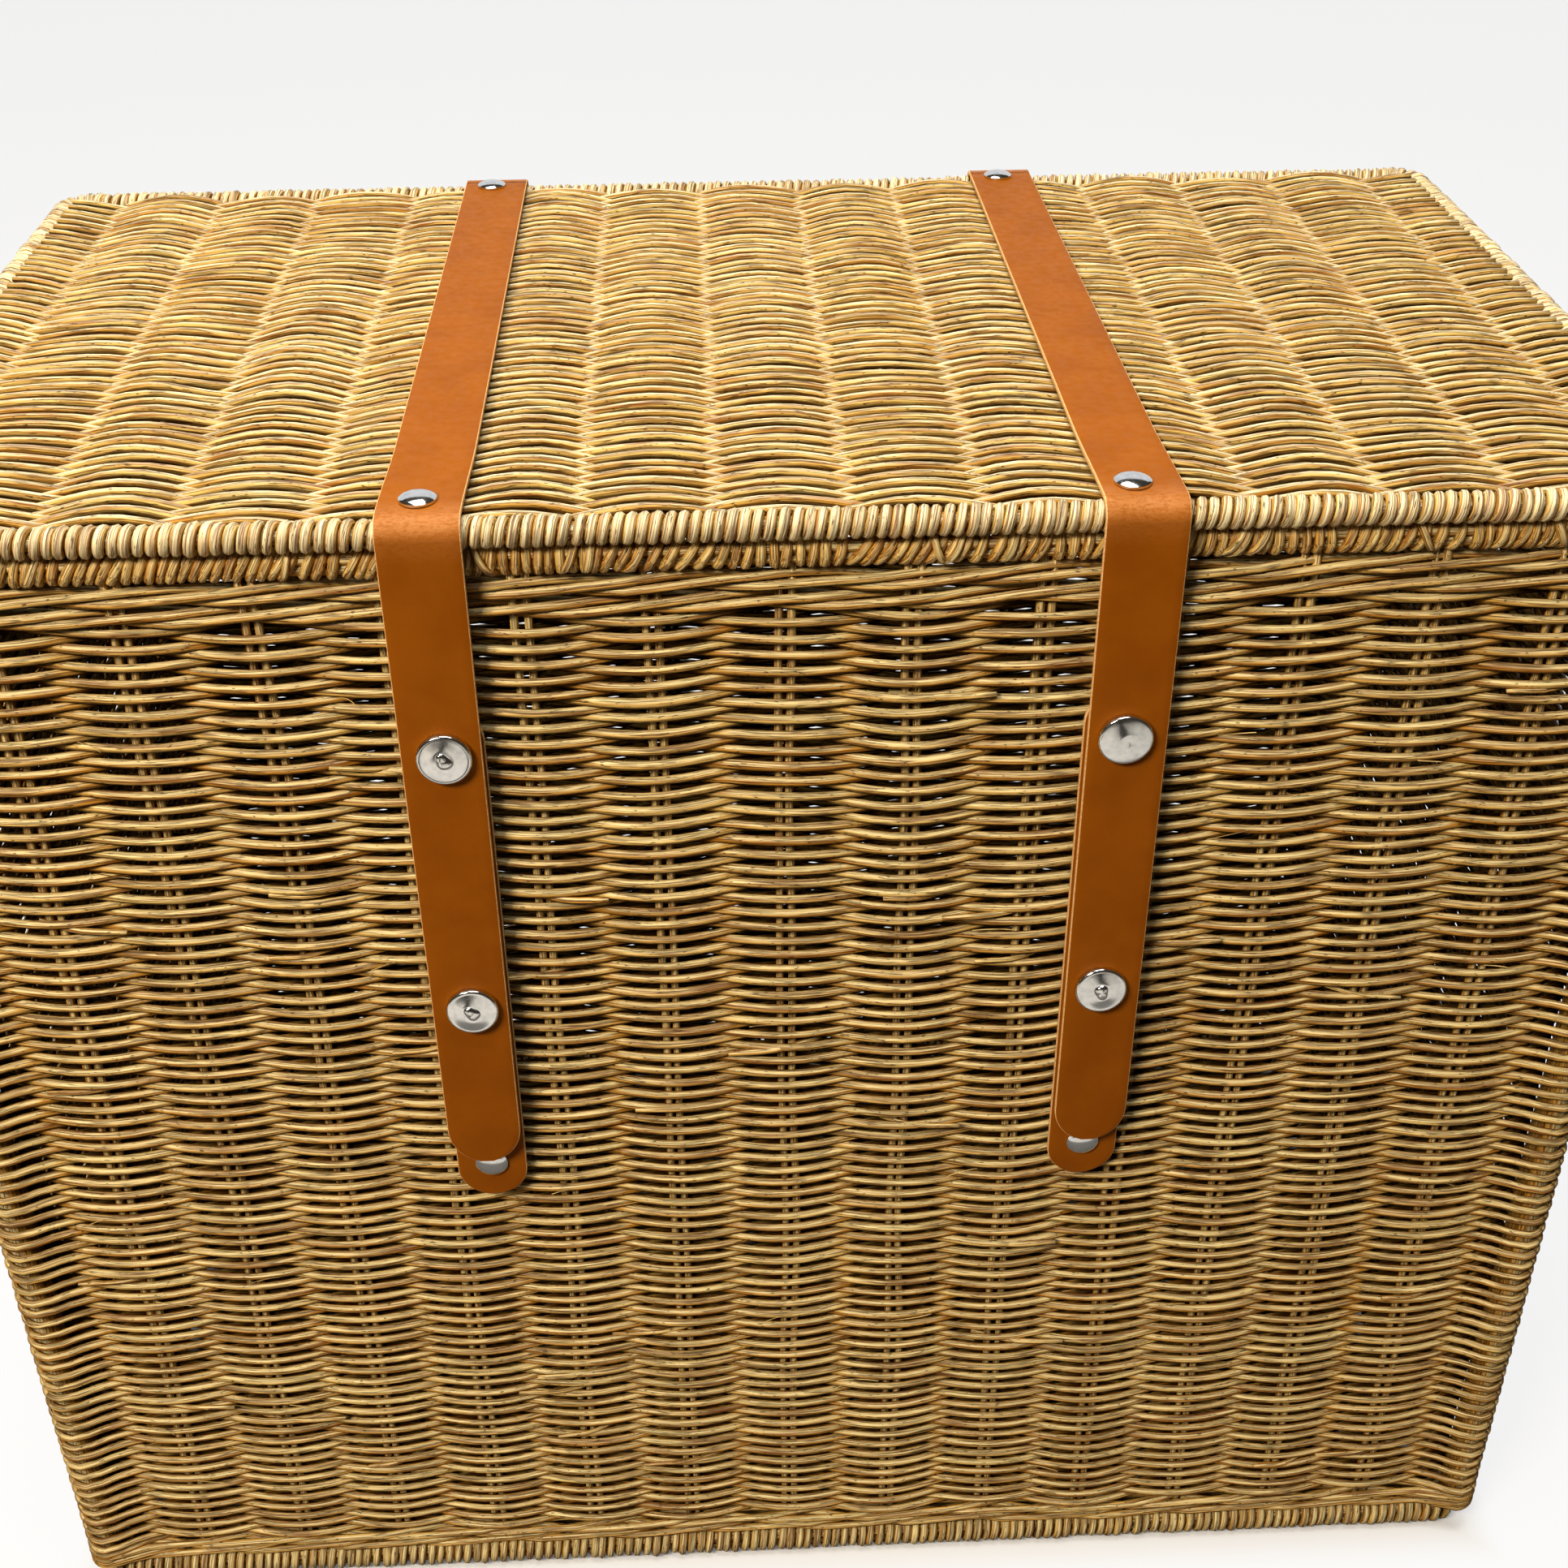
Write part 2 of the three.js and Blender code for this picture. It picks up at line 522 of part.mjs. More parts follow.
// The straps
for (const [side, x] of straps) {
  const outward = Math.sign(x) * FLAP_OFFSET;
  const lidStrap = stripAlong(lidStrapProfile(), x, STRAP_WIDTH);
  addPiece(`lid_strap_${side}`, cutBars(lidStrap, lidRivetBars(x)), leather(TAN));
  addPiece(`strap_fold_${side}`, stripAlong(foldProfile(), x + outward, STRAP_WIDTH), leather(TAN));

  const flap = strapOutline(x + outward, STRAP_WIDTH, lidMiddle - FIT, lidMiddle - FLAP_END, 0, FLAP_TONGUE);
  STUD_DROPS.forEach((drop) => flap.holes.push(roundHole(x, lidMiddle - drop, STUD_SHANK)));
  addPiece(`strap_flap_${side}`, hungStrap(flap, -postY - flapInner), leather(TAN));

  const catchStrap = strapOutline(
    x, CATCH_WIDTH, lidMiddle - CATCH_TOP, lidMiddle - CATCH_END, CATCH_TONGUE, CATCH_TONGUE);
  STUD_DROPS.forEach((drop) => catchStrap.holes.push(roundHole(x, lidMiddle - drop, STUD_SHANK)));
  catchRivetDrops.forEach((drop) => catchStrap.holes.push(roundHole(x, lidMiddle - drop, RIVET_SHANK)));
  addPiece(`catch_strap_${side}`, hungStrap(catchStrap, -postY - catchInner), leather(TAN));

  const hingeBars = hingeRivetDrops.map(
    (drop) => levelBar(RIVET_SHANK / 2 + FIT, x, postY, hingeLine - drop, 4 * flapOuter));
  addPiece(`hinge_strap_${side}`, hingeStrapGeometry(x, hingeBars), leather(TAN));

  ['upper', 'lower'].forEach((level, index) => {
    const cap = addPiece(`${level}_stud_cap_${side}`, studCapGeometry(), nickel());
    cap.rotation.x = Math.PI;
    cap.position.set(x, -postY - flapOuter - FIT, lidMiddle - STUD_DROPS[index]);
    const post = addPiece(`${level}_stud_post_${side}`, studPostGeometry(), nickel());
    post.rotation.x = Math.PI;
    post.position.set(x, -postY - catchOuter - FIT, lidMiddle - STUD_DROPS[index]);

    addRivet(`${level}_catch_${side}`, rivetGrip(catchInner - weaveThickness / 2), (piece) => {
      piece.rotation.x = Math.PI;
      piece.position.set(x, -postY - catchOuter - FIT, lidMiddle - catchRivetDrops[index]);
    });
    addRivet(`${level}_hinge_${side}`, rivetGrip(hingeInner - weaveThickness / 2), (piece) => {
      piece.position.set(x, postY + hingeInner + LEATHER + FIT, hingeLine - hingeRivetDrops[index]);
    });
  });
  [['front', -lidRivetY], ['rear', lidRivetY]].forEach(([end, y]) => {
    addRivet(`${end}_lid_${side}`, rivetGrip(lidTop + FIT - underLid - weaveThickness), (piece) => {
      piece.rotation.x = Math.PI / 2;
      piece.position.set(x + LID_RIVET_SHIFT, y, lidTop + FIT + LEATHER + FIT);
    });
  });
}

export default hamper;
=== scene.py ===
import math

import bmesh
import bpy
import numpy as np
from mathutils import Matrix, Vector


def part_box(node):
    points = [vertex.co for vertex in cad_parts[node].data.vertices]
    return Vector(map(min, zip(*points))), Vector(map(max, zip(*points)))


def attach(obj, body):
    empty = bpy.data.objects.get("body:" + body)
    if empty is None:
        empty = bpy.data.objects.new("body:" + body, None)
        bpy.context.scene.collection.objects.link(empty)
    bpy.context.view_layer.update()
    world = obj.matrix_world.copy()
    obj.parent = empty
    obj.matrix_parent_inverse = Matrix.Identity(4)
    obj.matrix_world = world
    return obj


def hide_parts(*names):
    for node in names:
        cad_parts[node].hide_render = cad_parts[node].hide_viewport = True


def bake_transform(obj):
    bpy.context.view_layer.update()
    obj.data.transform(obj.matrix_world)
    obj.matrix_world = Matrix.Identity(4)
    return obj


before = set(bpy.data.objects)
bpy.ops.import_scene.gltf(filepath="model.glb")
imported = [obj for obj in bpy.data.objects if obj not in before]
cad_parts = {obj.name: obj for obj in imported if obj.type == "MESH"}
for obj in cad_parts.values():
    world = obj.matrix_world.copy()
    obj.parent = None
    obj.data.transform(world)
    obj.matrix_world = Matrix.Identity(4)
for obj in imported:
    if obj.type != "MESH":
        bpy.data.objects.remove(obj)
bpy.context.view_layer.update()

# A lidded rattan hamper: every cane of the weave, the wrapped borders, the leather straps and the nickel
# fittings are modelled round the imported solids. Lengths are in millimetres until a mesh is made.
MM = 0.001

# Camera, as fitted to the straps, studs and rows of the photograph
IMAGE = 1932
FOCAL = 2546.98
CAMERA_PLACE = (-29.6, -870.8, 916.4)
CAMERA_YAW, CAMERA_PITCH, CAMERA_ROLL = 2.442, 33.123, 0.394

# Weave
WEAVER = 1.97
LID_WEAVER = 1.95
STAKE = 1.85
SWING = 3.7
STAKE_PAIR = 2.4
POST_ROUND = 8.95
POST_GRIP = 14
INNER_CUT = 6.33
OUTER_SWELL = 5.5
INNER_SWELL = 4.2
WALL_ROW = 3.55
LID_ROW = 3.9
CANE_APART = 613.0

# Leather
LEATHER = 2.2
STRAP_SEAM = 2
STRAP_LAP = 1.5
STRAP_EASE = 60
HINGE_DRAPE = 30
EDGE_ROUND = 0.6

# Rivets
RIVET_HEAD = 2.2
RIVET_TAIL = 0.5


def limits(node):
    low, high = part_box(node)
    return np.array(low) / MM, np.array(high) / MM


def middle(node):
    low, high = limits(node)
    return (low + high) / 2


def srgb(red, green, blue):
    def linear(c):
        c /= 255
        return c / 12.92 if c <= 0.04045 else ((c + 0.055) / 1.055) ** 2.4
    return linear(red), linear(green), linear(blue), 1.0


# Materials

def add(tree, kind, **settings):
    node = tree.nodes.new(kind)
    for key, value in settings.items():
        setattr(node, key, value)
    return node


def plug(tree, socket, value):
    if isinstance(value, bpy.types.NodeSocket):
        tree.links.new(value, socket)
    else:
        socket.default_value = value


def feed(tree, node, **sockets):
    for name, value in sockets.items():
        plug(tree, node.inputs[name.replace("_", " ")], value)
    return node


def scaled(tree, vector, factors):
    node = add(tree, "ShaderNodeVectorMath", operation="MULTIPLY")
    plug(tree, node.inputs[0], vector)
    plug(tree, node.inputs[1], factors)
    return node.outputs[0]


def millimetres(tree):
    """Places on the hamper, in millimetres."""
    return scaled(tree, add(tree, "ShaderNodeTexCoord").outputs["Object"], (1000, 1000, 1000))


def noise(tree, vector, scale, detail=2.0, roughness=0.5):
    node = add(tree, "ShaderNodeTexNoise")
    feed(tree, node, Vector=vector, Scale=scale, Detail=detail, Roughness=roughness)
    return node.outputs["Fac"]


def ramp(tree, value, low, high, to_low=0.0, to_high=1.0):
    node = add(tree, "ShaderNodeMapRange", interpolation_type="SMOOTHSTEP")
    feed(tree, node, Value=value, From_Min=low, From_Max=high, To_Min=to_low, To_Max=to_high)
    return node.outputs["Result"]


def maths(tree, operation, first, second):
    node = add(tree, "ShaderNodeMath", operation=operation)
    plug(tree, node.inputs[0], first)
    plug(tree, node.inputs[1], second)
    return node.outputs[0]


def times(tree, first, second):
    return maths(tree, "MULTIPLY", first, second)


def less(tree, first, second):
    return maths(tree, "SUBTRACT", first, second)


def mixed(tree, share, first, second):
    node = add(tree, "ShaderNodeMix", data_type="RGBA")
    for number, value in ((0, share), (6, first), (7, second)):
        plug(tree, node.inputs[number], value)
    return node.outputs[2]


def bumped(tree, height, strength, distance):
    node = add(tree, "ShaderNodeBump")
    feed(tree, node, Strength=strength, Distance=distance, Height=height)
    return node.outputs["Normal"]


def new_group(name, inputs, outputs):
    tree = bpy.data.node_groups.new(name, "ShaderNodeTree")
    for label, kind in inputs:
        tree.interface.new_socket(label, in_out="INPUT", socket_type=kind)
    for label, kind in outputs:
        tree.interface.new_socket(label, in_out="OUTPUT", socket_type=kind)
    return tree, add(tree, "NodeGroupInput"), add(tree, "NodeGroupOutput")


def cane_skin_group():
    tree, given, result = new_group(
        "cane_skin",
        [(label, "NodeSocketColor") for label in ("Pith_and_highlight", "Straw", "Honey", "Bark", "Speck_and_shade")],
        [("Color", "NodeSocketColor"), ("Roughness", "NodeSocketFloat"), ("Height", "NodeSocketFloat"),
         ("Gloss", "NodeSocketFloat")])
    pith_and_highlight, straw, honey, bark, speck_and_shade = given.outputs[:5]
    place = add(tree, "ShaderNodeAttribute", attribute_name="cane").outputs["Vector"]
    tone = add(tree, "ShaderNodeAttribute", attribute_name="tone").outputs["Fac"]
    painted_light = add(tree, "ShaderNodeAttribute", attribute_name="painted_light").outputs["Fac"]
    patch = noise(tree, scaled(tree, place, (0.022, 0.12, 0.12)), 1.0, 3.0)
    stain = noise(tree, scaled(tree, place, (0.03, 0.35, 0.35)), 1.0, 3.0)
    fibre = noise(tree, scaled(tree, place, (0.022, 1.5, 1.5)), 1.0, 3.0, 0.65)
    fine = noise(tree, scaled(tree, place, (0.08, 3.6, 3.6)), 1.0, 2.0)
    split = noise(tree, scaled(tree, place, (0.03, 0.9, 0.9)), 1.0, 1.0)
    dash = noise(tree, scaled(tree, place, (0.34, 1.5, 1.5)), 1.0, 1.0)
    # The cane mesh's painted light: below 0 a painted highlight, above 0 a painted shade.
    painted_highlight, sunk = ramp(tree, painted_light, -1.0, 0.0, 1.0, 0.0), ramp(tree, painted_light, 0.0, 1.0)
    share = maths(tree, "ADD", tone, times(tree, less(tree, patch, 0.5), 1.3))
    color = mixed(tree, ramp(tree, share, 0.0, 1.0), honey, straw)
    apart = maths(tree, "ABSOLUTE", less(tree, split, 0.5), 0.0)
    crack = ramp(tree, apart, 0.012, 0.04, 1.0, 0.0)
    pits = ramp(tree, dash, 0.68, 0.72)
    # The first layer paints a highlight with the pale colour and the last paints shade with the dark colour;
    # the layers between are the cane's own streaks, stains, cracks and pits.
    layers = [(times(tree, painted_highlight, 0.85), pith_and_highlight),
              (ramp(tree, fibre, 0.28, 0.44, 0.45, 0.0), pith_and_highlight),
              (ramp(tree, stain, 0.56, 0.74, 0.0, 0.65), bark),
              (ramp(tree, fibre, 0.48, 0.62, 0.0, 0.78), bark),
              (ramp(tree, fine, 0.5, 0.68, 0.0, 0.55), bark),
              (times(tree, crack, 0.6), speck_and_shade),
              (times(tree, pits, 0.8), speck_and_shade),
              (times(tree, sunk, 0.95), speck_and_shade)]
    for share, layer in layers:
        color = mixed(tree, share, color, layer)
    # Gloss is lower in the painted shade and higher under the painted highlight.
    gloss = times(tree, less(tree, 1.0, sunk), ramp(tree, painted_highlight, 0.0, 1.0, 0.12, 0.75))
    rough = maths(tree, "ADD", ramp(tree, fibre, 0.3, 0.8, 0.34, 0.6), times(tree, pits, 0.2))
    height = less(tree, times(tree, fine, 0.35), times(tree, pits, 0.6))
    height = less(tree, height, times(tree, fibre, 0.9))
    height = less(tree, height, times(tree, crack, 0.8))
    feed(tree, result, Color=color, Roughness=rough, Height=height, Gloss=gloss)
    return tree


def new_material(name):
    material = bpy.data.materials.new(name)
    material.use_nodes = True
    tree = material.node_tree
    return material, tree, tree.nodes["Principled BSDF"]


def cane_material(name, group, *colors):
    """Cane in its pith, straw, honey, bark and speck colours, where the pith colour also paints highlights
    and the speck colour paints shade.
    """
    material, tree, shader = new_material(name)
    skin = add(tree, "ShaderNodeGroup", node_tree=group)
    for socket, color in zip(skin.inputs, colors):
        socket.default_value = srgb(*color)
    feed(tree, shader, Base_Color=skin.outputs["Color"], Roughness=skin.outputs["Roughness"],
         Normal=bumped(tree, skin.outputs["Height"], 0.8, 0.0005), Specular_IOR_Level=skin.outputs["Gloss"])
    shader.inputs["Specular Tint"].default_value = (1.0, 0.84, 0.6, 1)
    return material


def hide_group():
    tree, given, result = new_group(
        "hide_grain",
        [(label, "NodeSocketColor") for label in ("Tan", "Deep", "Rubbed")],
        [("Color", "NodeSocketColor"), ("Roughness", "NodeSocketFloat"), ("Height", "NodeSocketFloat"),
         ("Gloss", "NodeSocketFloat")])
    tan, deep, rubbed = given.outputs[:3]
    place = millimetres(tree)
    crease = add(tree, "ShaderNodeAttribute", attribute_name="crease").outputs["Fac"]
    cloud = noise(tree, place, 0.045, 3.0, 0.55)
    mottle = noise(tree, place, 0.22, 3.0, 0.6)
    pores = add(tree, "ShaderNodeTexVoronoi", feature="DISTANCE_TO_EDGE")
    feed(tree, pores, Vector=place, Scale=1.5, Randomness=1.0)
    grain = ramp(tree, pores.outputs["Distance"], 0.0, 0.16)
    speckle = noise(tree, place, 2.6, 2.0)
    wrinkle = noise(tree, scaled(tree, place, (0.45, 1.0, 1.0)), 0.9, 3.0, 0.7)
    color = mixed(tree, ramp(tree, cloud, 0.3, 0.75, 0.0, 0.8), tan, deep)
    color = mixed(tree, ramp(tree, mottle, 0.5, 0.8, 0.0, 0.25), color, deep)
    worn = times(tree, crease, ramp(tree, wrinkle, 0.3, 0.6, 0.25, 1.0))
    color = mixed(tree, times(tree, worn, 0.85), color, rubbed)
    color = mixed(tree, ramp(tree, speckle, 0.55, 0.75, 0.0, 0.2), color, deep)
    rough = maths(tree, "ADD", ramp(tree, mottle, 0.3, 0.7, 0.42, 0.56), times(tree, worn, -0.08))
    height = maths(tree, "ADD", times(tree, grain, 0.35), times(tree, speckle, 0.4))
    height = maths(tree, "ADD", height, times(tree, times(tree, crease, wrinkle), 2.5))
    gloss = maths(tree, "ADD", times(tree, worn, 0.3), 0.14)
    feed(tree, result, Color=color, Roughness=rough, Height=height, Gloss=gloss)
    return tree


def leather_material(group):
    material, tree, shader = new_material("tan_leather")
    hide = add(tree, "ShaderNodeGroup", node_tree=group)
    feed(tree, hide, Tan=srgb(153, 83, 8), Deep=srgb(139, 72, 4), Rubbed=srgb(178, 111, 52))
    feed(tree, shader, Base_Color=hide.outputs["Color"], Roughness=hide.outputs["Roughness"],
         Normal=bumped(tree, hide.outputs["Height"], 0.35, 0.0003), Specular_IOR_Level=hide.outputs["Gloss"])
    shader.inputs["Specular Tint"].default_value = (1.0, 0.8, 0.5, 1)
    return material


def cut_edge_material():
    material, tree, shader = new_material("leather_cut_edge")
    place = millimetres(tree)
    fluff = noise(tree, place, 1.4, 3.0, 0.7)
    color = mixed(tree, ramp(tree, fluff, 0.3, 0.7), srgb(214, 146, 74), srgb(248, 206, 146))
    feed(tree, shader, Base_Color=color, Normal=bumped(tree, fluff, 0.6, 0.0004), Roughness=0.85)
    return material


def nickel_material():
    material, tree, shader = new_material("polished_nickel")
    place = millimetres(tree)
    smear = noise(tree, place, 0.35, 3.0, 0.6)
    scratch = noise(tree, scaled(tree, place, (4.0, 4.0, 0.25)), 1.0, 2.0)
    color = mixed(tree, ramp(tree, smear, 0.35, 0.7), srgb(222, 224, 226), srgb(206, 208, 210))
    rough = ramp(tree, smear, 0.3, 0.75, 0.1, 0.17)
    feed(tree, shader, Base_Color=color, Roughness=rough, Metallic=1.0,
         Normal=bumped(tree, scratch, 0.05, 0.0002))
    return material


cane_skin = cane_skin_group()
# The first colour of each cane material also serves as the painted highlight and the last as the painted
# shade.
wall_cane = cane_material("wall_cane", cane_skin, (255, 242, 184), (244, 204, 116), (212, 150, 52),
                          (118, 54, 4), (26, 6, 0))
lid_cane = cane_material("lid_cane", cane_skin, (240, 234, 200), (222, 188, 102), (191, 138, 46),
                         (129, 64, 2), (34, 9, 0))
border_cane = cane_material("lid_border_cane", cane_skin, (255, 246, 204), (242, 206, 116), (208, 152, 54),
                            (138, 70, 4), (36, 10, 0))
tan_leather = leather_material(hide_group())
cut_edge = cut_edge_material()
nickel = nickel_material()


# Making pieces

def into_scene(name, data):
    thing = bpy.data.objects.new(name, data)
    bpy.context.scene.collection.objects.link(thing)
    return thing


def as_mesh(name, shape):
    mesh = bpy.data.meshes.new(name)
    shape.to_mesh(mesh)
    shape.free()
    return mesh


def smooth_outward(shape):
    bmesh.ops.recalc_face_normals(shape, faces=shape.faces)
    for face in shape.faces:
        face.smooth = True


def run_along(line):
    """Distance along a line at each of its points."""
    return np.concatenate([[0], np.cumsum(np.linalg.norm(np.diff(line, axis=0), axis=1))])


def shade(rng, mean, spread, count=None):
    """The tone of a cane, or of many, from dark 0 to pale 1."""
    return np.clip(rng.normal(mean, spread, count), 0, 1)


def ease(share):
    return share * share * (3 - 2 * share)


def new_piece(name, mesh, materials, body, nodes):
    piece = into_scene(name, mesh)
    for material in materials[len(mesh.materials):]:
        mesh.materials.append(material)
    if nodes:
        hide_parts(*nodes)
    if body:
        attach(piece, body)
    return piece


def strand(points, radius, tone, closed=False, sink=0.0, face=(0, 0, 1), up=0.0):
    """One cane: its middle line, and along it its radius, its tone from dark 0 to pale 1, how far it goes
    behind the stakes, and the face of its sheet. Up is the share of its open side that looks up."""
    # Sink, face and up only steer the painted shade and painted highlight that cane_mesh stores on each cane.
    points = np.asarray(points, float)
    radius, tone, sink = (np.broadcast_to(np.asarray(v, float), len(points)).copy()
                          for v in (radius, tone, sink))
    face = np.broadcast_to(np.asarray(face, float), points.shape).copy()
    if not closed:
        start = points[0] + 0.05 * (points[0] - points[1]) / np.linalg.norm(points[0] - points[1])
        end = points[-1] + 0.05 * (points[-1] - points[-2]) / np.linalg.norm(points[-1] - points[-2])
        points = np.vstack([start, points, end])
        radius = np.concatenate([[0], radius, [0]])
        tone, sink, face = (np.concatenate([v[:1], v, v[-1:]]) for v in (tone, sink, face))
    return points, radius, tone, sink, face, up, closed


def cane_mesh(name, strands, sides):
    """A mesh of round canes, with each point's place on its own cane kept for the material."""
    curve = bpy.data.curves.new(name, "CURVE")
    curve.dimensions = "3D"
    curve.bevel_depth = MM
    curve.bevel_resolution = (sides - 4) // 2
    curve.twist_mode = "MINIMUM"
    for points, radius, *_, closed in strands:
        spline = curve.splines.new("POLY")
        spline.points.add(len(points) - 1)
        spline.points.foreach_set("co", np.hstack([points * MM, np.ones((len(points), 1))]).ravel())
        spline.points.foreach_set("radius", radius)
        spline.use_cyclic_u = closed
    holder = into_scene(name, curve)
    mesh = bpy.data.meshes.new_from_object(holder)
    bpy.data.objects.remove(holder)
    bpy.data.curves.remove(curve)

    turn = 2 * math.pi * np.arange(sides) / sides
    ring = np.stack([np.zeros(sides), np.cos(turn), np.sin(turn)], axis=1)
    skin = np.empty(3 * len(mesh.vertices))
    mesh.vertices.foreach_get("co", skin)
    skin = skin.reshape(-1, sides, 3) / MM
    places, values, done = [], [], 0
    for index, (points, radius, tone, sink, face, up, _) in enumerate(strands):
        along = run_along(points) + CANE_APART * index
        place = ring[None] * radius[:, None, None]
        place[:, :, 0] = along[:, None]
        places.append(place.reshape(-1, 3))
        away = (skin[done:done + len(points)] - points[:, None]) / np.maximum(radius, 0.1)[:, None, None]
        done += len(points)
        toward = np.einsum("psk,pk->ps", away, face)
        # How squarely each point faces the open side of the sheet and up; the painted shade and painted
        # highlight below follow from it.
        open_facing = math.sqrt(1 - up * up) * np.abs(toward) + up * away[:, :, 2]
        # Painted shade: darker on the parts of a cane that pass behind the stakes, on the side that faces
        # into the sheet, and where it faces away from the open side, in the crevices between canes.
        behind = np.clip(sink[:, None] * np.clip(3 * toward + 1, -1, 1) - 0.05, 0, 1)
        inside = 0.65 * np.clip(-2 * toward, 0, 1)
        painted_shade = np.maximum.reduce([behind, inside, np.clip((0.6 - open_facing) / 0.85, 0, 1)])
        # rubbed is a painted highlight: paler where a cane faces the open side and up, as if lit there, and
        # not in the painted shade.
        rubbed = np.clip((open_facing - 0.6) / 0.4, 0, 1) * np.clip(1 - 2 * np.maximum(behind, inside), 0, 1)
        values.append(np.stack([np.repeat(tone, sides), (painted_shade - rubbed).ravel()]))
    mesh.attributes.new("cane", "FLOAT_VECTOR", "POINT").data.foreach_set(
        "vector", np.concatenate(places).astype(np.float32).ravel())
    # The second attribute carries the painted light: painted shade above 0 and painted highlight below 0.
    for label, along in zip(("tone", "painted_light"), np.concatenate(values, axis=1)):
        mesh.attributes.new(label, "FLOAT", "POINT").data.foreach_set("value", along.astype(np.float32))
    return tidy_mesh(mesh)


def tidy_mesh(mesh):
    shape = bmesh.new()
    shape.from_mesh(mesh)
    bmesh.ops.remove_doubles(shape, verts=shape.verts, dist=1e-7)
    smooth_outward(shape)
    shape.to_mesh(mesh)
    shape.free()
    return mesh


def cane_piece(name, strands, sides, material, body, nodes=()):
    return new_piece(name, cane_mesh(name, strands, sides), [material], body, nodes)


class Wander:
    """A smooth seeded drift along a loop of the given length."""

    def __init__(self, seed, loop, size, waves=8, slowest=5, fastest=26):
        rng = np.random.default_rng(seed)
        self.turns = 2 * np.pi * rng.integers(slowest, fastest, waves) / loop
        self.phases = rng.uniform(0, 2 * np.pi, waves)
        self.slants = rng.uniform(-0.02, 0.02, waves)
        self.size = size / math.sqrt(waves / 2)

    def __call__(self, along, across=0.0):
        angle = np.multiply.outer(along, self.turns) + self.phases + across * self.slants
        return self.size * np.sin(angle).sum(axis=-1)


# Walls

front_left = middle("front_left_post")
back_right = middle("back_right_post")
LEFT, RIGHT = front_left[0], back_right[0]
FRONT, BACK = front_left[1], back_right[1]
FRONT_SPANS, SIDE_SPANS = 14, 8
ACROSS, ALONG_SIDE = RIGHT - LEFT, BACK - FRONT
ROUND_WALLS = 2 * (ACROSS + ALONG_SIDE)
SPAN = ACROSS / FRONT_SPANS


class Wall:
    def __init__(self, corner, heading, outward, length, spans, start, wider=0.0):
        self.corner, self.heading, self.outward = map(np.array, (corner, heading, outward))
        self.length, self.spans, self.start, self.wider = length, spans, start, wider
        self.facing = np.append(self.outward, 0.0)

    def place(self, along, out):
        return self.corner + np.multiply.outer(along, self.heading) + np.multiply.outer(out, self.outward)

    def near_post(self, along):
        return np.exp(-(along / POST_GRIP) ** 2) + np.exp(-((self.length - along) / POST_GRIP) ** 2)

    def bend(self, turns, side):
        """Points round the post at the start (side -1) or the end (side 1) of the wall."""
        post = self.corner + (self.heading * self.length if side > 0 else 0)
        return post + POST_ROUND * (np.multiply.outer(np.cos(turns), self.outward)
                                    + side * np.multiply.outer(np.sin(turns), self.heading))


WALLS = {
    "front": Wall((LEFT, FRONT), (1.0, 0.0), (0.0, -1.0), ACROSS, FRONT_SPANS, 0.0),
    "right": Wall((RIGHT, FRONT), (0.0, 1.0), (1.0, 0.0), ALONG_SIDE, SIDE_SPANS, ACROSS),
    "back": Wall((RIGHT, BACK), (-1.0, 0.0), (0.0, 1.0), ACROSS, FRONT_SPANS, ACROSS + ALONG_SIDE, 1.1),
    "left": Wall((LEFT, BACK), (0.0, -1.0), (-1.0, 0.0), ALONG_SIDE, SIDE_SPANS, 2 * ACROSS + ALONG_SIDE),
}
QUARTER = np.radians([45, 30, 15])
row_drift = Wander(11, ROUND_WALLS, 0.55)
lean_drift = Wander(12, ROUND_WALLS, 0.3)


def wall_row(wall, height, outside, own_drift, steps):
    """One weaver along a wall: over and under the stakes, and round the post at each end."""
    trim = 0.0 if outside else INNER_CUT
    along = np.linspace(trim, wall.length - trim, wall.spans * steps + 1)
    near_post = wall.near_post(along)
    swing = SWING + wall.wider + (OUTER_SWELL if outside else INNER_SWELL) * near_post
    out = (1 if outside else -1) * swing * np.cos(np.pi * along * wall.spans / wall.length) - wall.wider
    loop = wall.start + along
    out = out + lean_drift(loop, height) * (1 - np.clip(near_post, 0, 1))
    level = wall.place(along, out)
    if outside:
        level = np.vstack([wall.bend(QUARTER, -1), level, wall.bend(QUARTER[::-1], 1)])
        ends = np.full(len(QUARTER), wall.start)
        loop = np.concatenate([ends, loop, ends + wall.length])
        out = np.concatenate([np.full(len(QUARTER), SWING), out, np.full(len(QUARTER), SWING)])
    rise = height + row_drift(loop, height) + own_drift(loop)
    # The last value, how far the row goes behind the stakes, sets its painted shade there.
    return np.hstack([level, rise[:, None]]), loop, -1.2 * out / SWING


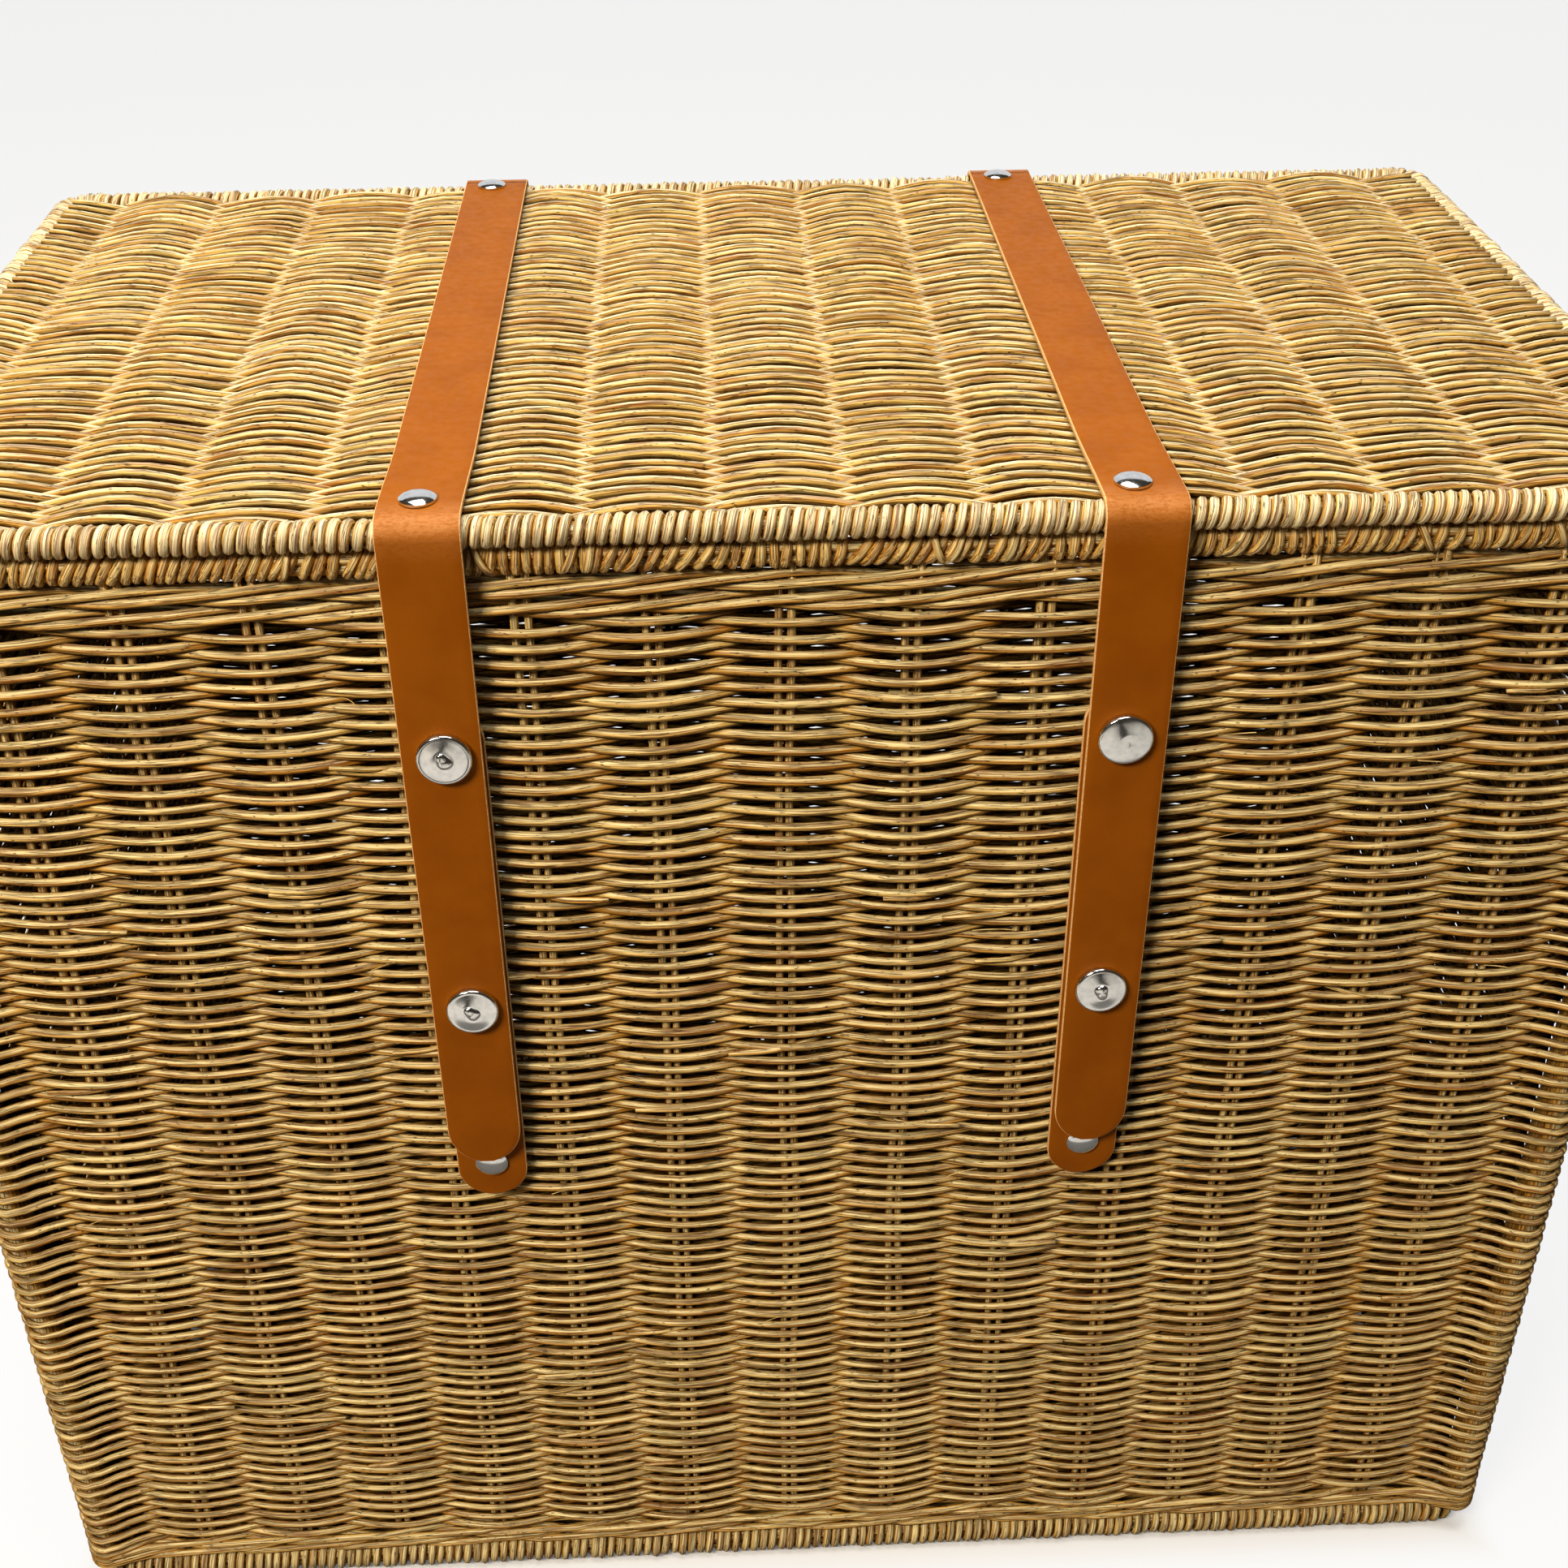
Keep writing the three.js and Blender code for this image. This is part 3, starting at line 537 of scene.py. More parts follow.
def weave_wall(wall_name, thick, steps, sides, piece_names):
    wall = WALLS[wall_name]
    foot, top = limits(f"{wall_name}_wall")
    count = round((top[2] - foot[2]) / WALL_ROW)
    pitch = (top[2] - foot[2]) / count
    strands = []
    for row in range(count):
        rng = np.random.default_rng(1000 + row)
        own_drift = Wander(5000 + row, ROUND_WALLS, 0.2)
        swell = Wander(7000 + row, ROUND_WALLS, 0.05)
        points, loop, sink = wall_row(wall, foot[2] + pitch * (row + 0.5), row % 2 == 0, own_drift, steps)
        finer = 1.0 if wall.wider else np.interp(foot[2] + pitch * row, [280, 480], [0.91, 0.99])
        radius = thick * finer * rng.uniform(0.9, 1.06) * (1 + swell(loop))
        tone = shade(rng, 0.52, 0.24)
        strands.append(strand(points, radius, tone, False, sink, wall.facing, 0.8))
    parts = np.array_split(np.arange(count), len(piece_names))
    for name, part in zip(piece_names, parts):
        cane_piece(name, [strands[i] for i in part], sides, wall_cane, "basket", [f"{wall_name}_wall"])


weave_wall("front", WEAVER, 7, 8, ["front_weave_lower", "front_weave_upper"])
weave_wall("back", WEAVER + 0.7, 6, 6, ["back_weave"])
weave_wall("left", WEAVER, 6, 6, ["left_weave"])
weave_wall("right", WEAVER, 6, 6, ["right_weave"])


def weaver_ends(rng):
    """Cut ends of weavers that come out past a stake on the front, and fine loose fibres."""
    wall = WALLS["front"]
    foot, top = limits("front_wall")
    share = np.linspace(0, 1, 9)
    strands = []
    for _ in range(34):
        stake = wall.length * rng.integers(1, wall.spans) / wall.spans
        way = rng.choice([-1, 1])
        along = stake + way * (rng.uniform(6, 20) - rng.uniform(26, 44) * share)
        out = -2 + (SWING + 3.2) * np.sin(np.pi / 2 * np.minimum(1, 1.6 * share))
        rise = rng.uniform(foot[2] + 20, top[2] - 12) + rng.uniform(-3.5, 3.5) * share
        thick = rng.uniform(1.0, 1.6) * np.interp(share, [0, 0.8, 1], [1, 1, 0.8])
        strands.append(strand(np.hstack([wall.place(along, out), rise[:, None]]), thick,
                              shade(rng, 0.5, 0.25), face=wall.facing, up=0.8))
    for _ in range(60):
        start = rng.uniform(20, wall.length - 20)
        along = start + rng.choice([-1, 1]) * rng.uniform(6, 20) * share
        out = SWING + 1.5 + rng.uniform(0.5, 2.5) * share ** 2
        rise = rng.uniform(foot[2] + 20, top[2] - 8) + rng.uniform(-4, 4) * share
        rise = rise + rng.normal(0, 1.5) * share ** 3
        strands.append(strand(np.hstack([wall.place(along, out), rise[:, None]]), rng.uniform(0.15, 0.3), 0.7,
                              face=wall.facing))
    return strands


cane_piece("front_weaver_ends", weaver_ends(np.random.default_rng(57)), 6, wall_cane, "basket")


# Stakes and posts

def stand_stakes(wall_name):
    wall = WALLS[wall_name]
    rng = np.random.default_rng(70 + wall.spans + int(wall.start))
    foot = limits("lower_wale")[0][2]
    top = middle("rim_border")[2]
    heights = np.linspace(foot, top, 26)
    strands = []
    for stake in range(1, wall.spans):
        sway = Wander(rng.integers(1 << 30), top * 3, 0.45, slowest=2, fastest=12)
        for side in (-1, 1):
            own = Wander(rng.integers(1 << 30), top * 3, 0.25, slowest=3, fastest=14)
            along = wall.length * stake / wall.spans + side * STAKE_PAIR + sway(heights) + own(heights)
            level = wall.place(along, np.zeros_like(along))
            strands.append(strand(np.hstack([level, heights[:, None]]), STAKE * rng.uniform(0.92, 1.05),
                                  shade(rng, 0.6, 0.2), face=wall.facing))
    return strands


cane_piece("wall_stakes", [s for name in WALLS for s in stand_stakes(name)], 6, wall_cane, "basket")

for corner in ("front_left", "front_right", "back_left", "back_right"):
    low, high = limits(f"{corner}_post")
    x, y, _ = middle(f"{corner}_post")
    heights = np.linspace(low[2], high[2], 24)
    line = np.stack([np.full(24, x), np.full(24, y), heights], axis=1)
    post = strand(line, (high[0] - low[0]) / 2, 0.35, face=(np.sign(x), np.sign(y), 0))
    cane_piece(f"{corner}_corner_post", [post], 14, wall_cane, "basket", [f"{corner}_post"])


# Waling: three canes twisted round the stakes as each round goes along

def wale_round(middle_height, first, strands_in_round, rise, rng):
    periods = 15
    strands = []
    for cane in range(strands_in_round):
        points, faces = [], []
        for wall in WALLS.values():
            along = np.linspace(0, wall.length, wall.spans * 5 + 1)[:-1]
            phase = (wall.start + along) / ROUND_WALLS * periods + cane / strands_in_round + first
            turn = 2 * np.pi * (phase - 0.33)
            out = SWING * np.minimum(1.0, 1.3 * np.cos(turn) + 0.3)
            out = out + (POST_ROUND - out) * np.clip(wall.near_post(along), 0, 1)
            height = middle_height + rise * np.sin(turn) + row_drift(wall.start + along, middle_height)
            level = wall.place(along, out)
            corner = wall.bend(QUARTER[::-1][:2], -1)[::-1]
            before = np.hstack([corner, np.full((2, 1), height[0])])
            points.append(np.vstack([before, np.hstack([level, height[:, None]])]))
            end = wall.bend(np.concatenate([[0], QUARTER[::-1]]), 1)
            points.append(np.hstack([end, np.full((len(end), 1), height[-1])]))
            faces.append(np.tile(wall.facing, (len(points[-2]) + len(end), 1)))
        strands.append(strand(np.vstack(points), 1.9 * rng.uniform(0.95, 1.05), rng.uniform(0.4, 0.75), True,
                              face=np.vstack(faces), up=0.8))
    return strands


wale_rng = np.random.default_rng(31)
upper_foot = limits("upper_wale")[0][2]
lower_foot, lower_top = limits("lower_wale")
cane_piece("upper_waling",
           wale_round(upper_foot + 3.8, 0.0, 3, 2.1, wale_rng)
           + wale_round(upper_foot + 12.2, 0.17, 3, 2.2, wale_rng),
           8, wall_cane, "basket", ["upper_wale"])
cane_piece("lower_waling",
           wale_round(lower_foot[2] + 3.6, 0.0, 3, 1.7, wale_rng)
           + wale_round(lower_top[2] - 3.0, 0.17, 3, 1.2, wale_rng),
           6, wall_cane, "basket", ["lower_wale"])


# Borders

class BorderLine:
    """The middle line of a border: a rectangle with round corners, walked from the front left."""

    def __init__(self, half_x, half_y, bend, middle_y):
        self.parts = []
        start = 0.0
        inner_x, inner_y = half_x - bend, half_y - bend
        corners = [(inner_x, -inner_y), (inner_x, inner_y), (-inner_x, inner_y), (-inner_x, -inner_y)]
        lengths = [2 * inner_x, 2 * inner_y, 2 * inner_x, 2 * inner_y]
        for side, (corner, length) in enumerate(zip(corners, lengths)):
            facing = side * math.pi / 2 - math.pi / 2
            self.parts.append((start, length, np.array(corner), facing, 0.0))
            start += length
            self.parts.append((start, bend * math.pi / 2, np.array(corner), facing, 1.0))
            start += bend * math.pi / 2
        self.length, self.bend, self.middle_y = start, bend, middle_y
        self.starts = np.array([part[0] for part in self.parts])

    def __call__(self, along):
        """Points and outward directions in plan."""
        along = np.mod(along, self.length)
        index = np.searchsorted(self.starts, along, side="right") - 1
        places, outs = np.zeros((len(along), 2)), np.zeros((len(along), 2))
        for number, (start, length, corner, facing, is_bend) in enumerate(self.parts):
            here = index == number
            gone = along[here] - start
            angle = facing + is_bend * gone / self.bend
            out = np.stack([np.cos(angle), np.sin(angle)], axis=1)
            back = (1 - is_bend) * (gone - length)
            heading = np.array([-math.sin(facing), math.cos(facing)])
            places[here] = corner + self.bend * out + np.multiply.outer(back, heading)
            outs[here] = out
        places[:, 1] += self.middle_y
        return places, outs


def border_line(node, width, bend):
    low, high = limits(node)
    half = (high - low) / 2 - width / 2
    return BorderLine(half[0], half[1], bend, (low[1] + high[1]) / 2), (low[2] + high[2]) / 2


def wound(line, height, across, up, along, turn):
    """Points on a cane wound round a border, at places along it and turns round it, and their outer side."""
    level, out = line(along)
    level = level + out * (across * np.cos(turn))[:, None]
    outward = np.hstack([out * np.cos(turn)[:, None], np.sin(turn)[:, None]])
    return np.hstack([level, (height + up * np.sin(turn))[:, None]]), outward


def helix(line, height, across, up, pitch, thick, rng, steps=12):
    """A border wrapped tightly all round with one long cane."""
    turns = round(line.length / pitch)
    count = np.arange(turns * steps)
    each = count // steps
    uneven = rng.normal(0, 0.35, turns)
    pull = rng.normal(1, 0.05, turns)
    following = np.interp(count / steps, np.arange(turns + 1), np.append(uneven, uneven[0]))
    tight = np.interp(count / steps, np.arange(turns + 1), np.append(pull, pull[0]))
    along = line.length * count / (turns * steps) + following
    turn = 2 * np.pi * count / steps
    points, outward = wound(line, height, across * tight, up * tight, along, turn)
    radius = thick * np.interp(count / steps, np.arange(turns + 1), np.append(pull, pull[0])[::-1])
    # Its face is scaled by 1.3, which widens the painted highlight and narrows the painted shade on each
    # wrap.
    return strand(points, radius, shade(rng, 0.55, 0.2, turns)[each], True, face=1.3 * outward)


def ring_cane(line, height, out, up, thick, tone, step=12):
    """A plain cane that runs all round inside a border."""
    along = np.arange(0, line.length, step)
    level, outward = line(along)
    points = np.hstack([level + out * outward, np.full((len(along), 1), height + up)])
    return strand(points, thick, tone, True, face=np.hstack([outward, np.zeros((len(along), 1))]), up=0.5)


def uneven_wraps(line, height, across, up, rng):
    """Single wraps of a hand-lashed border, with their own slant, and gaps where the core shows."""
    strands = []
    turn = 2 * np.pi * np.arange(14) / 14
    place, slant, spread, left = 0.0, 0.8, 1.0, 0
    while place < line.length - 3:
        if left == 0:
            slant, left = rng.normal(1.6, 1.1), rng.integers(3, 11)
            spread = rng.choice([1.02, 1.02, 1.15, 1.55])
            if rng.random() < 0.3:
                place += rng.uniform(0.8, 3.0)
        left -= 1
        lean = slant + rng.normal(0, 0.4)
        thick = rng.uniform(1.85, 2.25)
        pull = rng.uniform(0.96, 1.1)
        along = place + lean * np.sin(turn) + rng.normal(0, 0.2) * np.sin(2 * turn)
        reach = (across - thick) * rng.uniform(0.97, 1.06)
        points, outward = wound(line, height, reach, (up - thick) * pull, along, turn)
        tone = shade(rng, 0.5, 0.24)
        swell = thick * (1 + 0.06 * np.sin(turn + rng.uniform(0, 6)))
        # Its face is scaled by 0.88, which narrows the painted highlight and widens the painted shade on each
        # wrap.
        strands.append(strand(points, swell, tone, True, face=0.88 * outward))
        place += 2 * thick * spread * rng.uniform(0.97, 1.08)
    return strands


def tucked_ends(line, height, across, up, rng, count):
    """Cane ends that cross a few wraps and are tucked in under the border."""
    strands = []
    for place in np.sort(rng.uniform(0, line.length, count)):
        reach = rng.choice([-1, 1]) * rng.uniform(3, 11)
        turn = np.linspace(1.9, rng.uniform(-1.3, -0.9), 9)
        share = np.linspace(0, 1, 9)
        thick = rng.uniform(1.5, 2.0)
        along = place + reach * share ** 2
        lift = 0.5 + 1.0 * np.sin(np.pi * share)
        points, outward = wound(line, height, across + lift - thick, up + lift - thick, along, turn)
        taper = thick * np.interp(share, [0, 0.75, 1], [1, 1, 0.55])
        strands.append(strand(points, taper, shade(rng, 0.5, 0.2), face=outward))
    return strands


LID_EDGE, RIM_EDGE, FOOT_EDGE = 12.5, 13.0, 14.0
lid_line, lid_level = border_line("lid_border", LID_EDGE, 12)
rim_line, rim_level = border_line("rim_border", RIM_EDGE, 8)
foot_line, foot_level = border_line("foot_border", FOOT_EDGE, 8)
border_rng = np.random.default_rng(41)
cane_piece("lid_edge_binding",
           [helix(lid_line, lid_level, 4.05, 4.05, 4.6, 2.2, border_rng),
            ring_cane(lid_line, lid_level, 0, 0, 3.2, 0.5)],
           8, border_cane, "lid", ["lid_border"])
rim_half = RIM_EDGE / 2
rim_core = [ring_cane(rim_line, rim_level, out, up, 2.3, tone)
            for out, up, tone in ((1.9, -1.9, 0.3), (1.9, 2.0, 0.4), (-2.2, 0, 0.4))]
cane_piece("rim_binding",
           uneven_wraps(rim_line, rim_level, rim_half, rim_half, border_rng) + rim_core
           + tucked_ends(rim_line, rim_level, rim_half, rim_half, border_rng, 45),
           8, wall_cane, "basket", ["rim_border"])
cane_piece("foot_binding",
           [helix(foot_line, foot_level, 5.0, 6.0, 4.6, 2.0, border_rng),
            ring_cane(foot_line, foot_level, 0, -2.2, 3.6, 0.4),
            ring_cane(foot_line, foot_level, 0, 2.2, 3.6, 0.4)],
           6, wall_cane, "basket", ["foot_border"])


# Lid and base

def level_weave(node, row_pitch, reach, steps, seed, outer):
    """The weave of a level panel; its outer side looks up (1) or down (-1)."""
    low, high = limits(node)
    level = (low[2] + high[2]) / 2
    count = round((high[1] - low[1]) / row_pitch)
    pitch = (high[1] - low[1]) / count
    drift = Wander(seed, 2 * ACROSS, 0.9)
    lift = Wander(seed + 1, 2 * ACROSS, 0.3)
    strands = []
    for row in range(-1, count + 1):
        rng = np.random.default_rng(seed + 101 + row)
        own = Wander(seed + 3001 + row, 2 * ACROSS, 0.45)
        swell = Wander(seed + 6001 + row, 2 * ACROSS, 0.06)
        x = np.linspace(low[0] - reach, high[0] + reach, FRONT_SPANS * steps + 1)
        free = min(1.0, (min(row, count - 1 - row) + 1) / 4)
        y = low[1] + pitch * (row + 0.5) + free * (drift(x, row * pitch) + own(x))
        wave = (1 if row % 2 == 0 else -1) * np.cos(np.pi * (x - LEFT) / SPAN)
        z = level + (5.4 - LID_WEAVER) * wave + lift(x, row * pitch)
        radius = LID_WEAVER * rng.uniform(0.88, 1.08) * (1 + swell(x))
        # Sink sets the painted shade where a row dips under the stakes.
        strands.append(strand(np.stack([x, y, z], axis=1), radius, shade(rng, 0.64, 0.16),
                              sink=-1.1 * outer * wave, face=(0, 0, outer)))
    rng = np.random.default_rng(seed + 9)
    for stake in range(1, FRONT_SPANS):
        y = np.linspace(low[1], high[1], 14)
        for side in (-1, 1):
            x = np.full(14, LEFT + SPAN * stake + side * STAKE_PAIR)
            line = np.stack([x, y, np.full(14, level)], axis=1)
            strands.append(strand(line, STAKE * rng.uniform(0.92, 1.0), 0.3, face=(0, 0, outer)))
    return strands


cane_piece("lid_weave", level_weave("lid_panel", LID_ROW, 2.5, 6, 20000, 1),
           8, lid_cane, "lid", ["lid_panel"])
cane_piece("base_weave", level_weave("base_panel", LID_ROW, 1.5, 5, 30000, -1),
           6, wall_cane, "basket", ["base_panel"])


# Straps

def strap_sheet(name, line, facing, width, crease, tongue_top=0.0, tongue_end=0.0, dent=0.0):
    """A leather strip laid along a line, grain side out; facing is the outward direction at each point."""
    line, facing = np.asarray(line, float), np.asarray(facing, float)
    columns = 8
    shape = bmesh.new()
    bmesh.ops.create_grid(shape, x_segments=columns, y_segments=len(line) - 1, size=1)
    shape.verts.ensure_lookup_table()
    worn = shape.verts.layers.float.new("crease")
    run = run_along(line)
    narrow = np.ones(len(line))
    for tongue, to_end in ((tongue_end, run[-1] - run), (tongue_top, run)):
        if tongue:
            share = np.clip((tongue - to_end) / tongue, 0, 1)
            narrow = np.minimum(narrow, np.sqrt(np.maximum(1 - share ** 2, 0.03)))
    for vert in shape.verts:
        row = round((vert.co.y + 1) / 2 * (len(line) - 1))
        side = vert.co.x
        x = line[row][0] + side * narrow[row] * width / 2
        sunk = dent * crease[row] * (1 - side * side) ** 2
        place = line[row] - sunk * facing[row]
        vert.co = Vector((x, place[1], place[2])) * MM
        vert[worn] = crease[row]
    mesh = as_mesh(name, shape)
    holder = into_scene(name, mesh)
    thick = holder.modifiers.new("thickness", "SOLIDIFY")
    thick.thickness = LEATHER * MM
    middle_row = len(line) // 2
    wanted = Vector(facing[middle_row])
    polygon = mesh.polygons[middle_row * columns]
    thick.offset = -1 if polygon.normal.dot(wanted) > 0 else 1
    thick.use_even_offset = True
    thick.material_offset_rim = 1
    soft = holder.modifiers.new("soft_edges", "BEVEL")
    soft.width = EDGE_ROUND * MM
    soft.segments = 2
    soft.profile = 0.5
    soft.material = 1
    soft.limit_method = "ANGLE"
    soft.angle_limit = math.radians(50)
    mesh.materials.append(tan_leather)
    mesh.materials.append(cut_edge)
    bpy.context.view_layer.update()
    finished = bpy.data.meshes.new_from_object(holder.evaluated_get(bpy.context.evaluated_depsgraph_get()))
    bpy.data.objects.remove(holder)
    finished.name = name
    shape = bmesh.new()
    shape.from_mesh(finished)
    smooth_outward(shape)
    shape.to_mesh(finished)
    shape.free()
    return finished


def leather_piece(name, mesh, body, nodes):
    return new_piece(name, mesh, [tan_leather, cut_edge], body, nodes)


def tongue_steps(start, end, tongue, plain):
    """Heights or places down a strap, closer together in its rounded end."""
    way = 1 if end > start else -1
    body = np.linspace(start, end - way * tongue, plain)
    turn = np.radians(np.linspace(0, 80, 11))[1:]
    return np.concatenate([body, end - way * tongue + way * tongue * np.sin(turn)])


def arc(middle_y, middle_z, radius, first, last, count):
    turn = np.radians(np.linspace(first, last, count))
    return middle_y + radius * np.cos(turn), middle_z + radius * np.sin(turn), turn


def strap_facing(on_lid, turn, hanging, way):
    """Outward directions of a strap: up on the lid, round its bend, then out from the wall."""
    facing = np.zeros((on_lid + len(turn) + hanging, 3))
    facing[:, 1] = np.concatenate([np.zeros(on_lid), np.cos(turn), np.full(hanging, way)])
    facing[:, 2] = np.concatenate([np.ones(on_lid), np.sin(turn), np.zeros(hanging)])
    return facing


TONGUE, CATCH_TONGUE = 18, 15
for side in ("left", "right"):
    lid_low, lid_high = limits(f"lid_strap_{side}")
    fold_low, fold_high = limits(f"strap_fold_{side}")
    flap_low, flap_high = limits(f"strap_flap_{side}")
    hinge_low, hinge_high = limits(f"hinge_strap_{side}")
    catch_low, catch_high = limits(f"catch_strap_{side}")
    lid_x, flap_x = (lid_low[0] + lid_high[0]) / 2, (flap_low[0] + flap_high[0]) / 2
    width = flap_high[0] - flap_low[0]
    top = lid_high[2]
    fold_y, fold_z = fold_high[1], fold_low[2]
    fold_round = fold_high[2] - fold_low[2]

    # Front: along the lid, over its edge and down to the tongue
    back_y = 2 * middle("lid_border")[1] - fold_y
    seam_y = back_y - STRAP_SEAM
    y_lid = np.linspace(seam_y, fold_y, 44)[:-1]
    y_fold, z_fold, turn = arc(fold_y, fold_z, fold_round, 90, 180, 15)
    z_flap = tongue_steps(fold_z, flap_low[2], TONGUE, 34)[1:]
    y = np.concatenate([y_lid, y_fold, np.full(len(z_flap), flap_low[1])])
    z = np.concatenate([np.full(len(y_lid), top), z_fold, z_flap])
    x_lid = flap_x + (lid_x - flap_x) * ease(np.clip((y_lid - fold_y) / STRAP_EASE, 0, 1))
    x = np.concatenate([x_lid, np.full(len(y) - len(y_lid), flap_x)])
    line = np.stack([x, y, z], axis=1)
    run = run_along(line)
    apex = run[len(y_lid) + 5]
    crease = np.exp(-((run - apex) / 9) ** 2)
    facing = strap_facing(len(y_lid), turn, len(z_flap), -1.0)
    mesh = strap_sheet(f"closing_strap_{side}", line, facing, width, crease, tongue_end=TONGUE, dent=0.7)
    strap = leather_piece(f"closing_strap_{side}", mesh, None,
                          [f"lid_strap_{side}", f"strap_fold_{side}", f"strap_flap_{side}"])
    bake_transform(strap)

    # Rear end: over the back edge of the lid and down the back wall, where it is the hinge
    y_lid = np.linspace(seam_y - STRAP_LAP, back_y, 4)[:-1]
    y_fold, z_fold, turn = arc(back_y, fold_z, fold_round, 90, 0, 13)
    z_drop = np.linspace(fold_z, middle("rim_border")[2] - 6.5, 16)[1:]
    z_lean = np.linspace(z_drop[-1], z_drop[-1] - HINGE_DRAPE, 13)[1:]
    z_hang = tongue_steps(z_lean[-1], hinge_low[2], TONGUE, 10)[1:]
    lean = ease(np.linspace(0, 1, 13)[1:])
    wall_y = hinge_low[1] + LEATHER
    y = np.concatenate([y_lid, y_fold, np.full(len(z_drop), hinge_high[1]),
                        hinge_high[1] + (wall_y - hinge_high[1]) * lean, np.full(len(z_hang), wall_y)])
    z = np.concatenate([np.full(len(y_lid), top), z_fold, z_drop, z_lean, z_hang])
    line = np.stack([np.full(len(y), lid_x), y, z], axis=1)
    facing = strap_facing(len(y_lid), turn, len(y) - len(y_lid) - len(turn), 1.0)
    crease = np.exp(-((z - fold_z) / 12) ** 2) * (y > back_y - 10)
    mesh = strap_sheet(f"hinge_leather_{side}", line, facing, width, crease, tongue_end=TONGUE)
    strap = leather_piece(f"hinge_leather_{side}", mesh, None, [f"hinge_strap_{side}"])
    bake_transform(strap)

    # Catch strap under the flap
    catch_x = (catch_low[0] + catch_high[0]) / 2
    mid_z = (catch_low[2] + catch_high[2]) / 2
    upper = tongue_steps(mid_z, catch_high[2], CATCH_TONGUE, 12)[::-1]
    lower = tongue_steps(mid_z, catch_low[2], CATCH_TONGUE, 12)[1:]
    z = np.concatenate([upper, lower])
    line = np.stack([np.full(len(z), catch_x), np.full(len(z), catch_low[1]), z], axis=1)
    facing = np.tile([0.0, -1.0, 0.0], (len(z), 1))
    mesh = strap_sheet(f"catch_leather_{side}", line, facing, catch_high[0] - catch_low[0], np.zeros(len(z)),
                       CATCH_TONGUE, CATCH_TONGUE)
    leather_piece(f"catch_leather_{side}", mesh, "basket", [f"catch_strap_{side}"])


# Turned fittings

def turned(profiles, sides=40):
    """Closed turned shapes about +Z, each from its outline of radius and height."""
    shape = bmesh.new()
    for profile in profiles:
        verts = [shape.verts.new((radius * MM, 0, height * MM)) for radius, height in profile]
        edges = [shape.edges.new(pair) for pair in zip(verts, verts[1:])]
        bmesh.ops.spin(shape, geom=verts + edges, cent=(0, 0, 0), axis=(0, 0, 1), angle=2 * math.pi,
                       steps=sides, use_merge=True)
    bmesh.ops.remove_doubles(shape, verts=shape.verts, dist=1e-6)
    smooth_outward(shape)
    return shape


def hammered(shape, rng):
    """The uneven nub and face that setting a stud leaves."""
    turns = rng.uniform(0, 2 * math.pi, 5)
    for vert in shape.verts:
        x, y, z = vert.co / MM
        if z < 2.5:
            continue
        angle, reach = math.atan2(y, x), math.hypot(x, y)
        nub = max(0.0, 1 - reach / 4.4)
        spread = 1 + nub * (0.5 * math.cos(2 * angle + turns[0]) + 0.35 * math.cos(3 * angle + turns[1]))
        face = reach / 9.5 * max(0.0, 1 - (reach / 9.5) ** 4)
        lift = face * (0.16 * math.cos(angle + turns[2]) + 0.1 * math.cos(2 * angle + turns[3]))
        lift += nub * 0.25 * math.cos(angle + turns[4])
        vert.co = Vector((x * spread, y * spread, z + lift)) * MM


def fitting(name, profiles, place, facing, body, nodes, rng=None):
    shape = turned(profiles)
    if rng:
        hammered(shape, rng)
    turn = Vector((0, 0, 1)).rotation_difference(Vector(facing)).to_matrix().to_4x4()
    bmesh.ops.transform(shape, matrix=Matrix.Translation(Vector(place) * MM) @ turn, verts=shape.verts)
    mesh = as_mesh(name, shape)
    mesh.set_sharp_from_angle(angle=math.radians(40))
    return new_piece(name, mesh, [nickel], body, nodes)


CAP_OUTLINE = [(0, -4.2), (4, -4.2), (4, -3.2), (6.5, -3.2), (6.5, -2.4), (2.2, -2.4), (2.2, 0), (10.2, 0),
               (10.6, 0.2), (10.75, 0.7), (10.75, 2.2), (10.65, 2.8), (10.4, 3.2), (10.05, 3.45),
               (9.65, 3.55), (9.25, 3.5), (8.85, 3.52), (7.2, 3.78), (5.1, 4.05), (3.5, 4.25), (3.2, 4.23),
               (3.1, 4.35), (2.9, 4.7), (2.5, 5.0), (1.9, 5.2), (1.0, 5.3), (0, 5.32)]
PLAIN_CAP_OUTLINE = CAP_OUTLINE[:-12] + [(radius, 3.56 + 0.85 * (1 - (radius / 9.65) ** 2))
                                         for radius in (9.2, 8.2, 6.8, 5.2, 3.5, 1.8, 0)]
POST_OUTLINE = [(0, -3.1), (4.5, -3.1), (4.5, -2.6), (2.2, -2.5), (2.2, 0), (6.5, 0), (6.5, 0.45),
                (6.2, 0.5), (3.0, 0.5), (3.5, 1.0), (3.4, 1.3), (3.0, 1.5), (0, 1.5)]


def rivet_outlines(grip, crown=2.9, wall=1.1):
    dome = [(7 * math.sin(t), wall + (crown - wall) * (math.cos(t) - math.cos(1.2)) / (1 - math.cos(1.2)))
            for t in np.linspace(1.2, 0, 10)]
    dome = [(radius / math.sin(1.2), height) for radius, height in dome]
    dome[-1] = (0, crown)
    rivet = [(0, -grip - 0.5), (2.4, -grip - 0.5), (2.7, -grip - 0.2), (2.7, -grip), (1.6, -grip), (1.6, 0),
             (6.8, 0), (7.0, 0.2)] + dome
    washer = [(1.6, -grip), (4.7, -grip), (5.0, -grip + 0.2), (5.0, -grip + 0.4), (4.7, -grip + 0.6),
              (1.6, -grip + 0.6)]
    return [rivet, washer]


